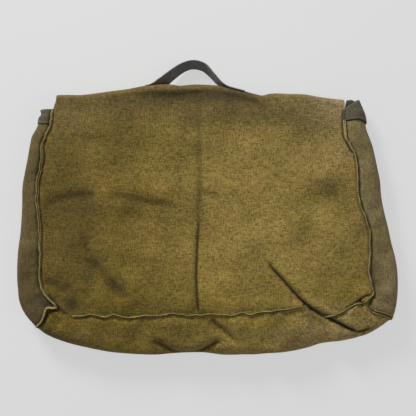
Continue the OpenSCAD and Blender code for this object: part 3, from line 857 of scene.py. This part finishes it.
def gusset_grid(stations, seed, front=None):
    """A gusset: rows run along the seam, columns from the back seam round the outline to the front seam."""
    seam, outline = stations[:, :2], stations[:, 2:]
    front = seam if front is None else front
    back_z, _ = back_height(seam[:, 0], seam[:, 1])
    front_z = front_level(seam[:, 1])
    # The way round, from 0 to pi, with the columns closer together at both seams.
    t = np.linspace(0, 1, COLS_GUSSET + 1)
    theta = np.pi * (t - 0.055 * np.sin(2 * np.pi * t))[None, :]
    reach = np.sin(theta) ** 0.85
    level = np.sign(np.cos(theta)) * np.abs(np.cos(theta)) ** 0.8
    lower = smooth((t - 0.5) / 0.3)[None, :, None]
    root = seam[:, None] * (1 - lower) + front[:, None] * lower
    xy = root + (outline[:, None] - root) * reach[..., None]
    x, y = corner_bend(xy[..., 0], xy[..., 1])
    z = ((back_z + front_z) / 2)[:, None] + ((back_z - front_z) / 2)[:, None] * level
    # The upper side has its own waves, puckers and a dip beside the seam, and the creases that reach it.
    out = reach * np.linalg.norm(outline - seam, axis=1)[:, None]
    on_top = smooth((np.cos(theta) - 0.02) / 0.5)
    folds, dirt = crease_height(x, y)
    own = 1.5 * waves(x, y, 62, 20 + seed) + 0.7 * waves(x, y, 26, 30 + seed)
    run = seam_run(stations)[:, None]
    pucker = 0.55 * waves(run, 0 * run, 13, 40 + seed) * np.exp(-((out - 7) / 6) ** 2)
    dip = -2.6 * np.exp(-((out - 2.6) / 2.0) ** 2)
    edge_folds = crease_height(seam[:, 0], seam[:, 1])[0][:, None] * np.exp(-(out / 10) ** 2)
    z = z + on_top * (own * smooth(out / 9) + pucker + dip + folds - edge_folds)
    z = np.maximum(z, 0.15)
    # painted shade from the creases, and a painted shadow line in the dip beside the seam
    mark = on_top * np.maximum(dirt, 0.75 * np.exp(-((out - 1.9) / 1.1) ** 2))
    x, y = fold_over(x, y)
    grid = np.dstack([x, y, z])
    widths = np.linalg.norm(np.diff(grid, axis=1), axis=2)
    girth = np.concatenate([np.zeros((len(run), 1)), np.cumsum(widths, axis=1)], axis=1)
    return grid, mark, np.dstack([run + 0 * out, girth])


# ---------------------------------------------------------------- cloth simulation
FRAMES = 22                 # how long the cloth settles
GROWTH = 0.012              # how much slack the sewn cloth has
CALM = 8                    # rounds of averaging that take the grid's own small wrinkles out again
HALF = COLS_GUSSET // 2     # the gussets' column at the outline


def settle(sheets, joins):
    """Runs a cloth simulation on sheets sewn together, and returns their grids, settled and calmed.

    sheets: (grid, hold) pairs, where hold 1 keeps a point still and less lets it move.
    joins: (sheet, sheet, index arrays, index arrays) for the points that two sheets share.
    """
    offsets = np.cumsum([0] + [g[0].shape[0] * g[0].shape[1] for g in sheets])
    number = [np.arange(offsets[k], offsets[k + 1]).reshape(g[0].shape[:2]) for k, g in enumerate(sheets)]
    points = np.concatenate([g[0].reshape(-1, 3) for g in sheets]) * MM
    hold = np.concatenate([np.ravel(g[1]) for g in sheets])
    same = np.arange(len(points))
    for a, b, at_a, at_b in joins:
        same[number[b][at_b]] = number[a][at_a]
    used, inverse = np.unique(same, return_inverse=True)
    mesh = bpy.data.meshes.new("settling")
    faces = np.concatenate([inverse[quads_of(n)] for n in number])
    mesh.from_pydata(points[used].tolist(), [], faces.tolist())
    obj = add_object("settling", mesh)
    group = obj.vertex_groups.new(name="hold")
    for k, weight in enumerate(hold[used]):
        group.add([k], float(weight), "REPLACE")
    cloth_run = obj.modifiers.new("cloth", "CLOTH").settings
    cloth_run.quality = 6
    cloth_run.mass = 0.35
    cloth_run.air_damping = 3
    cloth_run.tension_stiffness = cloth_run.compression_stiffness = 40
    cloth_run.shear_stiffness = 8
    cloth_run.bending_stiffness = 3.0
    cloth_run.tension_damping = cloth_run.compression_damping = 12
    cloth_run.vertex_group_mass = "hold"
    cloth_run.pin_stiffness = 1.0
    cloth_run.shrink_min = cloth_run.shrink_max = -GROWTH
    cloth_run.effector_weights.gravity = 0.15
    for frame_number in range(1, FRAMES + 1):
        bpy.context.scene.frame_set(frame_number)
    shape = obj.evaluated_get(bpy.context.evaluated_depsgraph_get()).to_mesh()
    settled = np.zeros(len(used) * 3)
    shape.vertices.foreach_get("co", settled)
    bpy.data.objects.remove(obj)
    bpy.context.scene.frame_set(1)
    moved = settled.reshape(-1, 3)[inverse] / MM - points / MM
    calm = []
    for k, (grid, _) in enumerate(sheets):
        move = moved[offsets[k]:offsets[k + 1]].reshape(grid.shape)
        for _ in range(CALM):
            move[1:-1, 1:-1] = (move[:-2, 1:-1] + move[2:, 1:-1] + move[1:-1, :-2] + move[1:-1, 2:]) / 4
        calm.append(grid + move)
    return calm


def settle_bag(back_points, gusset_points):
    """Settles the back panel and the top half of each gusset. Seams, fold and outline stay where they are."""
    soft, gusset_soft = 0.25, 0.31
    hold = np.full(back_points.shape[:2], soft)
    hold[:ROWS_FOLD + 2] = 1
    hold[:, [0, -1]] = 1
    hold[-1] = 1
    sheets = [(back_points, hold)]
    for side in ("left", "right", "bottom"):
        grid = gusset_points[side][:, :HALF + 1]
        hold = np.full(grid.shape[:2], gusset_soft)
        hold[:, 0] = hold[:, -1] = 1
        hold[:, -4:-1] = (0.5, 0.75, 0.95)
        hold[[0, -1]] = 1
        sheets.append((grid, hold))
    first = ROWS_FOLD + ROWS_TOP
    rows = np.arange(first, first + ROWS_SIDE + 1)
    side_rows = np.arange(ROWS_SIDE + 1)
    columns = np.arange(COLS + 1)
    joins = [(0, 1, (rows, 0 * rows), (side_rows, 0 * side_rows)),
             (0, 2, (rows, 0 * rows + COLS), (side_rows, 0 * side_rows)),
             (0, 3, (0 * columns + first + ROWS_SIDE, columns), (columns, 0 * columns))]
    settled = settle(sheets, joins)
    for side, grid in zip(("left", "right", "bottom"), settled[1:]):
        gusset_points[side][:, :HALF + 1] = grid
    return settled[0]


# ---------------------------------------------------------------- pieces
def put(obj, body, slot, *nodes):
    """Lets a piece ride on a body, and hides the CAD nodes that it stands for."""
    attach(obj, body)
    if nodes:
        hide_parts(*nodes)
    return obj


# The right end of the mouth gapes, so the right gusset's front seam starts further out and further up.
gape = smooth(1 - seam_run(right_stations) / 26)
right_front = right_stations[:, :2] + gape[:, None] * [7.0, 12.6]
gussets, gusset_marks, gusset_flats = {}, {}, {}
for side, stations, seed, low_front in (
    ("left", left_stations, 4, None), ("right", right_stations, 5, right_front),
    ("bottom", bottom_stations, 6, None),
):
    gussets[side], gusset_marks[side], gusset_flats[side] = gusset_grid(stations, seed, low_front)
back_grid, back_shade_and_dirt = back_panel_grid()
back_grid = settle_bag(back_grid, gussets)

# The back panel and the upper half of the turn over the fold.
back = cloth("back_canvas", back_grid, PANEL, flat_of(back_grid, ROWS_FOLD), back_shade_and_dirt, open_start=True)
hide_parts("back_panel", "flap_top")
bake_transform(back)

# The flap: the lower half of the turn, then the sheet that lies under the bag.
FLAP_ROWS = 70
FLAP_TURN = 9               # rows of the turn
FLAP_Z = 1.8                # the flap's outer face, next to the floor


def flap_grid():
    """The flap's outer face, from half way down the fold to its lower edge."""
    start = back_grid[0]
    rows = [start]
    for k in range(1, FLAP_TURN + 1):
        a = k / FLAP_TURN * np.pi / 2
        y = start[:, 1] - FOLD_R * (1 - np.cos(a))
        level = FLAP_Z + (MID_FOLD_Z - FLAP_Z) * (1 - np.sin(a))
        rows.append(np.column_stack([start[:, 0], y, np.full(len(start), level)]))
    end_x = FLAP_LOW[0] + (FLAP_HIGH[0] - FLAP_LOW[0]) * COLUMNS
    side = np.abs(2 * COLUMNS - 1)
    corner = 14 * np.clip((side - 0.93) / 0.07, 0, 1) ** 2.2
    for k in range(1, FLAP_ROWS + 1):
        t = k / FLAP_ROWS
        x = start[:, 0] + (end_x - start[:, 0]) * smooth(t * 3)
        y = rows[FLAP_TURN][:, 1] * (1 - t) + (FLAP_LOW[1] + corner) * t
        z = FLAP_Z + 0.35 * waves(x, y, 60, 51) * smooth(t * 4) * smooth((1 - t) * 6)
        rows.append(np.column_stack([x, y, np.maximum(z, 1.2)]))
    return np.array(rows)


flap_points = flap_grid()
flap = cloth("flap_canvas", flap_points, FLAP, flat_of(flap_points, FLAP_TURN), flip=True,
             open_start=True)
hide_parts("flap")
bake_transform(flap)


def strip(node_name, x0, x1, y0, y1, z, body, seed):
    """A flat hem: a layer of turned-in cloth with its upper face at z."""
    cols, rows = max(6, int(abs(x1 - x0) / 4)), max(6, int(abs(y1 - y0) / 4))
    x, y = np.meshgrid(np.linspace(x0, x1, cols + 1), np.linspace(y1, y0, rows + 1))
    grid = np.dstack([x, y, z + 0.12 * waves(x, y, 22, 60 + seed)])
    piece = cloth(f"{node_name}_cloth", grid, HEM_CLOTH, np.dstack([y, x]), thickness=HEM)
    return put(piece, body, "hem_canvas", node_name)


SIDE_HEM_TOP = 138
flap_x0, flap_x1, flap_low_y = FLAP_LOW[0], FLAP_HIGH[0], FLAP_LOW[1]
hem_top = FLAP_Z + CANVAS + HEM + 0.15
side_low = flap_low_y + HEM_W
flap_hems = [
    strip("flap_left_hem", flap_x0 + 0.5, flap_x0 + HEM_W, side_low, SIDE_HEM_TOP, hem_top, "flap", 1),
    strip("flap_right_hem", flap_x1 - HEM_W, flap_x1 - 0.5, side_low, SIDE_HEM_TOP, hem_top, "flap", 2),
    strip("flap_lower_hem", flap_x0 + 1, flap_x1 - 1, flap_low_y + 1, side_low, hem_top + 0.1, "flap", 3),
]

# The front panel, with its mouth's hem inside it.
FRONT_TOP_Y = 139.5
front_top = np.column_stack([-201 + 382 * COLUMNS, np.full(COLS + 1, FRONT_TOP_Y)])
front_left = np.concatenate([[front_top[0]], left_stations[1:, :2]])
front_right = np.concatenate([[front_top[-1]], right_stations[1:, :2]])
front_xy = coons(front_top, bottom_stations[:, :2], front_left, front_right)
front_x, front_y = front_xy[..., 0], front_xy[..., 1]
front_z = front_level(front_y) + 0.25 * waves(front_x, front_y, 55, 71) * smooth((front_y + 120) / 30)
front_points = np.dstack([front_x, front_y, np.maximum(front_z, 0.15)])
front = cloth("front_canvas", front_points, PANEL, flat_of(front_points), flip=True)
put(front, "root", "panel_canvas", "front_panel")
mouth_hem = strip("mouth_hem", -200, 180, FRONT_TOP_Y - HEM_W, FRONT_TOP_Y - 0.5,
                  FRONT_Z + CANVAS + HEM + 0.15, "root", 4)

# The gussets.
for side, material, slot_name in (
    ("left", GUSSET_LEFT, "gusset_canvas"), ("right", GUSSET_RIGHT, "gusset_canvas"),
    ("bottom", PANEL, "panel_canvas"),
):
    piece = cloth(f"{side}_gusset_canvas", gussets[side], material, gusset_flats[side], gusset_marks[side],
                  flip=side != "right", inner_shade=0.55)
    put(piece, "root", slot_name, f"{side}_gusset")


# ---------------------------------------------------------------- seams
def outward(path, stations):
    """Level unit directions square to the path, towards the gusset."""
    along = np.gradient(path[:, :2], axis=0)
    side = unit(np.column_stack([along[:, 1], -along[:, 0]]))
    towards = stations[:, 2:] - stations[:, :2]
    return side * np.sign((side * towards).sum(axis=1, keepdims=True))


def resample(values, run, step):
    """values at every step millimetres of run."""
    places = np.arange(0, run[-1], step)
    return np.column_stack([np.interp(places, run, values[:, i]) for i in range(values.shape[1])])


def between(run, stops):
    """A value along run from (distance, value) pairs."""
    stops = np.array(stops, float)
    return np.interp(run, stops[:, 0], stops[:, 1])


def back_seam(side, stations, seed, lean, spread, tall, feet, start=0.0, dive=None):
    """A standing seam on the back, from the share start of its stations' run on.

    lean and spread give where the two plies' edges stand, tall their height, and feet how far their feet
    reach on the panel's and the gusset's side, all as (distance, value) pairs along the seam. dive gives
    where the seam goes under a fold, and how far round that.
    """
    run = seam_run(stations)
    part = stations[run >= start * run[-1] - 0.01]
    fine = resample(part, seam_run(part), 1.6)
    fine_run = seam_run(fine)
    x, y = fine[:, 0], fine[:, 1]
    z, _ = back_height(x, y)
    path = np.column_stack([*fold_over(x, y), z - 0.2])
    sides = outward(path, fine)
    level = 0 * fine_run
    wobble = 0.45 * waves(fine_run, level, 17, 80 + seed) + 0.25 * waves(fine_run, level, 6, 90 + seed)
    path[:, :2] += sides * wobble[:, None]
    if dive:
        path[:, 2] -= 5 * np.exp(-((np.hypot(x - dive[0], y - dive[1]) / dive[2]) ** 4))
    lean, spread, tall = (between(fine_run, v) for v in (lean, spread, tall))
    lean = lean + 0.5 * waves(fine_run, level, 24, 85 + seed)
    height = tall * (1 + 0.14 * waves(fine_run, level, 9, 95 + seed))
    feet = [between(fine_run, v) for v in feet]
    tops = (lean - spread / 2, lean + spread / 2)
    piece = ridge(f"back_{side}_seam", path, sides, tops, (height, height * 0.94), feet)
    put(piece, "root", "seam_canvas", f"back_{side}_welt")
    return path, sides, lean, height


LONG = 1000                 # further than any seam runs
seam_lines = [
    back_seam("left", left_stations, 1,
              lean=[(0, 0.9), (45, 1.5), (60, 1.2), (170, 1.0), (LONG, 0.2)],
              spread=[(0, 1.2), (22, 0.8), (40, 0.8), (60, 2.9), (165, 2.7), (195, 0.6), (245, 0.6),
                      (LONG, 1.6)],
              tall=[(0, 2.8), (LONG, 3.4)],
              feet=([(0, 1.0), (60, 0.8), (LONG, 0.7)], [(0, 0.5), (60, 0.9), (LONG, 1.1)])),
    back_seam("bottom", bottom_stations, 2, start=0.058, dive=(140, -137, 12),
              lean=[(0, 0.1), (LONG, 0.2)],
              spread=[(0, 0.5), (LONG, 0.5)],
              tall=[(0, 1.6), (12, 2.6), (240, 2.9), (LONG, 2.9)],
              feet=([(0, 0.3), (LONG, 0.3)], [(0, 0.9), (LONG, 1.3)])),
    back_seam("right", right_stations, 3, start=0.045,
              lean=[(0, 1.5), (33, 1.2), (48, 0.2), (LONG, -0.3)],
              spread=[(0, 1.9), (33, 1.3), (48, 0.6), (LONG, 0.6)],
              tall=[(0, 2.2), (48, 2.8), (238, 3.0), (250, 1.2), (LONG, 0.9)],
              feet=([(0, 1.5), (48, 1.2), (62, 0.4), (LONG, 0.4)],
                    [(0, 0.4), (40, 0.4), (62, 1.1), (LONG, 1.3)])),
]

for side, stations in (("left", left_stations), ("bottom", bottom_stations), ("right", right_stations)):
    fine = resample(stations, seam_run(stations), 3.0)
    path = np.column_stack([fine[:, :2], np.maximum(front_level(fine[:, 1]), 0.9) + 0.2])
    piece = ridge(f"front_{side}_seam", path, outward(path, fine), (2.2, 3.2), (0.6, 0.7), (0, 0),
                  up=-1.0, sink=1.0)
    put(piece, "root", "seam_canvas", f"front_{side}_welt")


def corner_seam(side, first, lean, gap, heights, feet, lift, thick):
    """The mitred seam round a lower corner, from the gusset's column first on, and lower near the floor.

    Its two plies' edges stand gap apart round lean. heights are the plies' own, and lift raises both.
    """
    line = gussets[side][-1, first:COLS_GUSSET - 4]
    fine = resample(line, run_of(line), 1.5)
    along = unit(np.gradient(fine, axis=0))
    sides = unit(np.column_stack([along[:, 1], -along[:, 0]]))
    low = 20
    fade = np.clip(1 - (fine[:, 2] < low) * (low - fine[:, 2]) / 18, 0.35, 1)
    fine[:, 2] += lift
    tops = (lean - gap / 2, lean + gap / 2)
    piece = ridge(f"{side}_corner_seam", fine, sides, tops, (heights[0] * fade, heights[1] * fade), feet,
                  thick=thick, sink=1.5)
    put(piece, "root", "seam_canvas", f"{side}_corner_welt")


corner_seam("left", 0, -0.9, 1.1, (3.6, 3.3), (1.6, 0.6), 0.2, 1.0)
corner_seam("right", 5, -1.0, 4.2, (4.8, 3.3), (0.3, 1.4), 0.6, 0.8)


# ---------------------------------------------------------------- the gussets' hems
def gusset_hem(side, widths, flip, lift, hem_edge_shadow):
    """The hem round a gusset's mouth: its width at each column, and its height over the cloth."""
    rows = 12
    grid = gussets[side]
    normals = normals_of(grid) * (-1 if flip else 1)
    run = np.concatenate([np.zeros((1, grid.shape[1])),
                          np.cumsum(np.linalg.norm(np.diff(grid, axis=0), axis=2), axis=0)])
    points = np.zeros((rows + 2, grid.shape[1], 3))
    for c in range(grid.shape[1]):
        places = np.append(np.linspace(0, widths[c], rows + 1), widths[c] + 1.4)
        lifts = np.append(np.full(rows + 1, lift), 0.5)
        for i in range(3):
            points[:, c, i] = np.interp(places, run[:, c], grid[:, c, i])
            points[:, c, i] += lifts * np.interp(places, run[:, c], normals[:, c, i])
    points[0] += unit(grid[0] - grid[1])
    flat = np.dstack(np.meshgrid(np.linspace(0, HEM_W, rows + 2), np.linspace(0, 100, grid.shape[1]),
                                 indexing="ij"))
    mark = np.zeros(points.shape[:2])
    mark[0] = mark[-3] = -0.25
    # painted shadow along the hem's lower edge, where it drops onto the gusset
    mark[-1] = hem_edge_shadow
    piece = cloth(f"{side}_gusset_hem_cloth", points, HEM_CLOTH, flat, mark, thickness=lift + CANVAS + 0.4,
                  flip=flip)
    put(piece, "root", "hem_canvas", f"{side}_gusset_hem")
    return points


# The left hem is even, and the right one is widest at the outline.
column = np.linspace(0, 1, COLS_GUSSET + 1)
reach = np.sin(np.pi * column)
right_widths = np.where(column < 0.5, 15.0 + 6.5 * reach + 10 * reach**6, 18 + 13.5 * reach**4)
left_hem = gusset_hem("left", HEM_W + 0 * column, True, 1.4, 0.7)
right_hem = gusset_hem("right", right_widths, False, 1.9, 1.6)

# ---------------------------------------------------------------- the handle
STRAP = [
    # x, y, z, tilt of the webbing's width from level, in degrees
    (-84, 164.2, 14.0, 92), (-78, 164.8, 14.0, 88), (-72, 165.8, 14.2, 76), (-66, 167.6, 14.0, 60),
    (-60, 170.6, 13.4, 54), (-49.7, 178.4, 11.6, 56), (-39.2, 186.3, 10.2, 59), (-31.7, 190.6, 9.7, 61),
    (-22.5, 193.7, 9.3, 62), (-16.9, 194.1, 9.1, 62), (-10.1, 192.8, 9.0, 63), (-3.6, 189.9, 9.2, 66),
    (1.4, 185.2, 9.8, 70), (7.7, 178.1, 10.8, 74), (15.0, 169.8, 12.6, 76), (20.5, 165.6, 14.2, 81),
    (27, 162.6, 15.4, 87), (35, 160.3, 15.9, 89), (43, 158.4, 15.9, 90), (50, 156.8, 15.9, 90),
]
STRAP_RINGS = 90
strap_line = curve(STRAP, np.linspace(0, 1, STRAP_RINGS))
tilt = np.radians(strap_line[:, 3])
strap_along = unit(np.gradient(strap_line[:, :2], axis=0))
strap_across = np.column_stack([
    -strap_along[:, 1] * np.cos(tilt), strap_along[:, 0] * np.cos(tilt), np.sin(tilt)])
strap = ribbon("handle_strap", strap_line[:, :3], strap_across, STRAP_W, STRAP_T, WEBBING)
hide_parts("handle_loop", "left_handle_end", "right_handle_end")
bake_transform(strap)

fold_line = curve(FOLD, np.linspace(0, 1, 200))
for side, x0, x1 in (("left", -90, -50), ("right", 14, 54)):
    x, z = np.meshgrid(np.linspace(x0, x1, 12), np.linspace(24.6, 7.2, 7))
    y = np.interp(x, fold_line[:, 0], fold_line[:, 1]) - CANVAS - 0.4
    piece = cloth(f"{side}_handle_patch_cloth", np.dstack([x, y, z]), HEM_CLOTH, np.dstack([x, z]),
                  thickness=HEM, flip=True)
    put(piece, "flap_top", "hem_canvas", f"{side}_handle_patch")

# ---------------------------------------------------------------- the press studs, which keep their CAD shape
for side in ("left", "right"):
    for part, material in (("snap_cap", BRASS), ("snap_socket", BRASS), ("snap_spring", STEEL),
                           ("stud", BRASS), ("stud_backing", BRASS)):
        metal = frame["nodes"][f"{side}_{part}"].data.materials
        metal.clear()
        metal.append(material)


# ---------------------------------------------------------------- stitches
def stitches(name, rows, body, blend=None):
    """Rows of stitches as one piece that rides on a body, or that is handed to blend instead."""
    piece = mesh_from_parts(name, [part for row in rows for part in row], THREAD)
    if blend:
        blend(piece)
    else:
        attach(piece, body)
    return piece


def level_line(points, z, up=1.0):
    """Points every 2 mm along straight lines at a level z, each with its upward direction."""
    points = np.array(points, float)
    fine = resample(points, run_of(points), 2.0)
    return np.column_stack([fine, np.full(len(fine), z)]), np.tile([0, 0, up], (len(fine), 1))


inset = HEM_W - 2.5
stitch_top = SIDE_HEM_TOP - 2
hem_line = [(flap_x0 + inset, stitch_top), (flap_x0 + inset, flap_low_y + inset),
            (flap_x1 - inset, flap_low_y + inset), (flap_x1 - inset, stitch_top)]
edge_line = [(flap_x0 + 3, stitch_top), (flap_x0 + 3, side_low), (flap_x0 + 8, flap_low_y + 7),
             (flap_x0 + 20, flap_low_y + 3), (flap_x1 - 20, flap_low_y + 3), (flap_x1 - 8, flap_low_y + 7),
             (flap_x1 - 3, side_low), (flap_x1 - 3, stitch_top)]
stitches("flap_hem_stitches", [
    stitch_row(*level_line(hem_line, hem_top + 0.1), seed=1),
    stitch_row(*level_line(edge_line, hem_top + 0.1), seed=2),
    stitch_row(*level_line(hem_line, FLAP_Z - 0.05, -1.0), seed=3),
    stitch_row(*level_line(edge_line, FLAP_Z - 0.05, -1.0), seed=4)], "flap")
mouth_line = [(-196, FRONT_TOP_Y - inset), (176, FRONT_TOP_Y - inset)]
stitches("mouth_hem_stitches", [
    stitch_row(*level_line(mouth_line, FRONT_Z + CANVAS + HEM + 0.2), seed=5),
    stitch_row(*level_line(mouth_line, FRONT_Z - 0.1, -1.0), seed=6)], "root")


def surface_row(points, share, flip, seed):
    """Stitches across a hem at a share of its width."""
    k = share * (len(points) - 2)
    lower = int(k)
    line = points[lower] * (1 - k + lower) + points[min(lower + 1, len(points) - 1)] * (k - lower)
    normals = normals_of(points)[lower] * (-1 if flip else 1)
    return stitch_row(line[2:-2], normals[2:-2], seed=seed)


stitches("left_gusset_hem_stitches", [surface_row(left_hem, 0.86, True, 7)], "root")
stitches("right_gusset_hem_stitches", [surface_row(right_hem, 0.9, False, 8)], "root")

# Beside the ridges on the back, on both sides of them.
seam_rows = []
share = 0.42                # how high up the ridge they are
aside = 1.47                # how far from its middle
for k, (path, sides, lean, height) in enumerate(seam_lines):
    for way in (1, -1):
        out = way * aside + lean * share**1.5
        line = path + np.column_stack([sides * out[:, None], height * share])
        ups = np.column_stack([sides * way, np.full(len(sides), 0.35)])
        seam_rows.append(stitch_row(line, ups, length=2.4, radius=0.24, seed=20 + 2 * k + way))
stitches("seam_stitches", seam_rows, "root")


def strap_stitches(start, end, seed):
    """A box of stitches with a cross in it, on the strap's sewn end."""
    path = strap_line[start:end, :3]
    face = np.cross(unit(np.gradient(path, axis=0)), strap_across[start:end])
    face *= np.sign(face[:, 1:2])
    n = len(path)
    edge = STRAP_W / 2 - 2.6
    lift = face * (STRAP_T / 2 + 0.05)
    lines = []
    inner = slice(2, n - 1)
    for a, b in ((edge, edge), (-edge, -edge), (-edge, edge), (edge, -edge)):
        offset = np.linspace(a, b, n)[:, None] * strap_across[start:end]
        lines.append(((path + offset + lift)[inner], face[inner]))
    for k in (2, n - 2):
        across = np.linspace(-edge, edge, 12)[:, None] * strap_across[start + k]
        lines.append((path[k] + across + lift[k], np.tile(face[k], (12, 1))))
    return [stitch_row(line, ups, length=2.3, radius=0.3, seed=seed) for line, ups in lines]


left_end = int(np.argmax(strap_line[:, 0] > -70))
right_start = int(np.argmax(strap_line[:, 0] > 28))
handle_rows = strap_stitches(0, left_end, 40) + strap_stitches(right_start, STRAP_RINGS, 41)
stitches("handle_stitches", handle_rows, "flap_top",
         blend=lambda piece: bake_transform(piece))

# ---------------------------------------------------------------- floor, light and camera
bpy.ops.mesh.primitive_plane_add(size=40, location=(0, 0, -0.0005))
floor = bpy.context.object
floor.name = "floor"
floor.data.materials.append(floor_material())

SKY = 0.34
bpy.context.scene.view_settings.view_transform = "Standard"
world = bpy.data.worlds.new("studio")
bpy.context.scene.world = world
world.use_nodes = True
world.node_tree.nodes["Background"].inputs[0].default_value = (1, 1, 1, 1)
world.node_tree.nodes["Background"].inputs[1].default_value = SKY


def area_light(name, location, size, energy):
    """A rectangular lamp that faces the middle of the bag."""
    light = bpy.data.lights.new(name, "AREA")
    light.shape = "RECTANGLE"
    light.size, light.size_y = size
    light.energy = energy
    obj = add_object(name, light)
    obj.location = location
    obj.rotation_mode = "QUATERNION"
    obj.rotation_quaternion = (-obj.location).to_track_quat("-Z", "Y")


area_light("key_light", (-1.1, 1.9, 1.15), (0.7, 0.7), 78)
area_light("fill_light", (1.5, -0.4, 1.6), (1.4, 1.4), 8)

FRAME_WIDTH = 0.5616        # how much the picture shows across, at the level of the bag's outline
OUTLINE_Z = 0.018           # the level of its outline
LENS = 85.0
SENSOR = 36.0
camera_data = bpy.data.cameras.new("camera")
camera_data.lens = LENS
camera_data.sensor_width = SENSOR
camera = add_object("camera", camera_data)
camera.location = (0.0007, -0.0007, OUTLINE_Z + FRAME_WIDTH * LENS / SENSOR)
bpy.context.scene.camera = camera
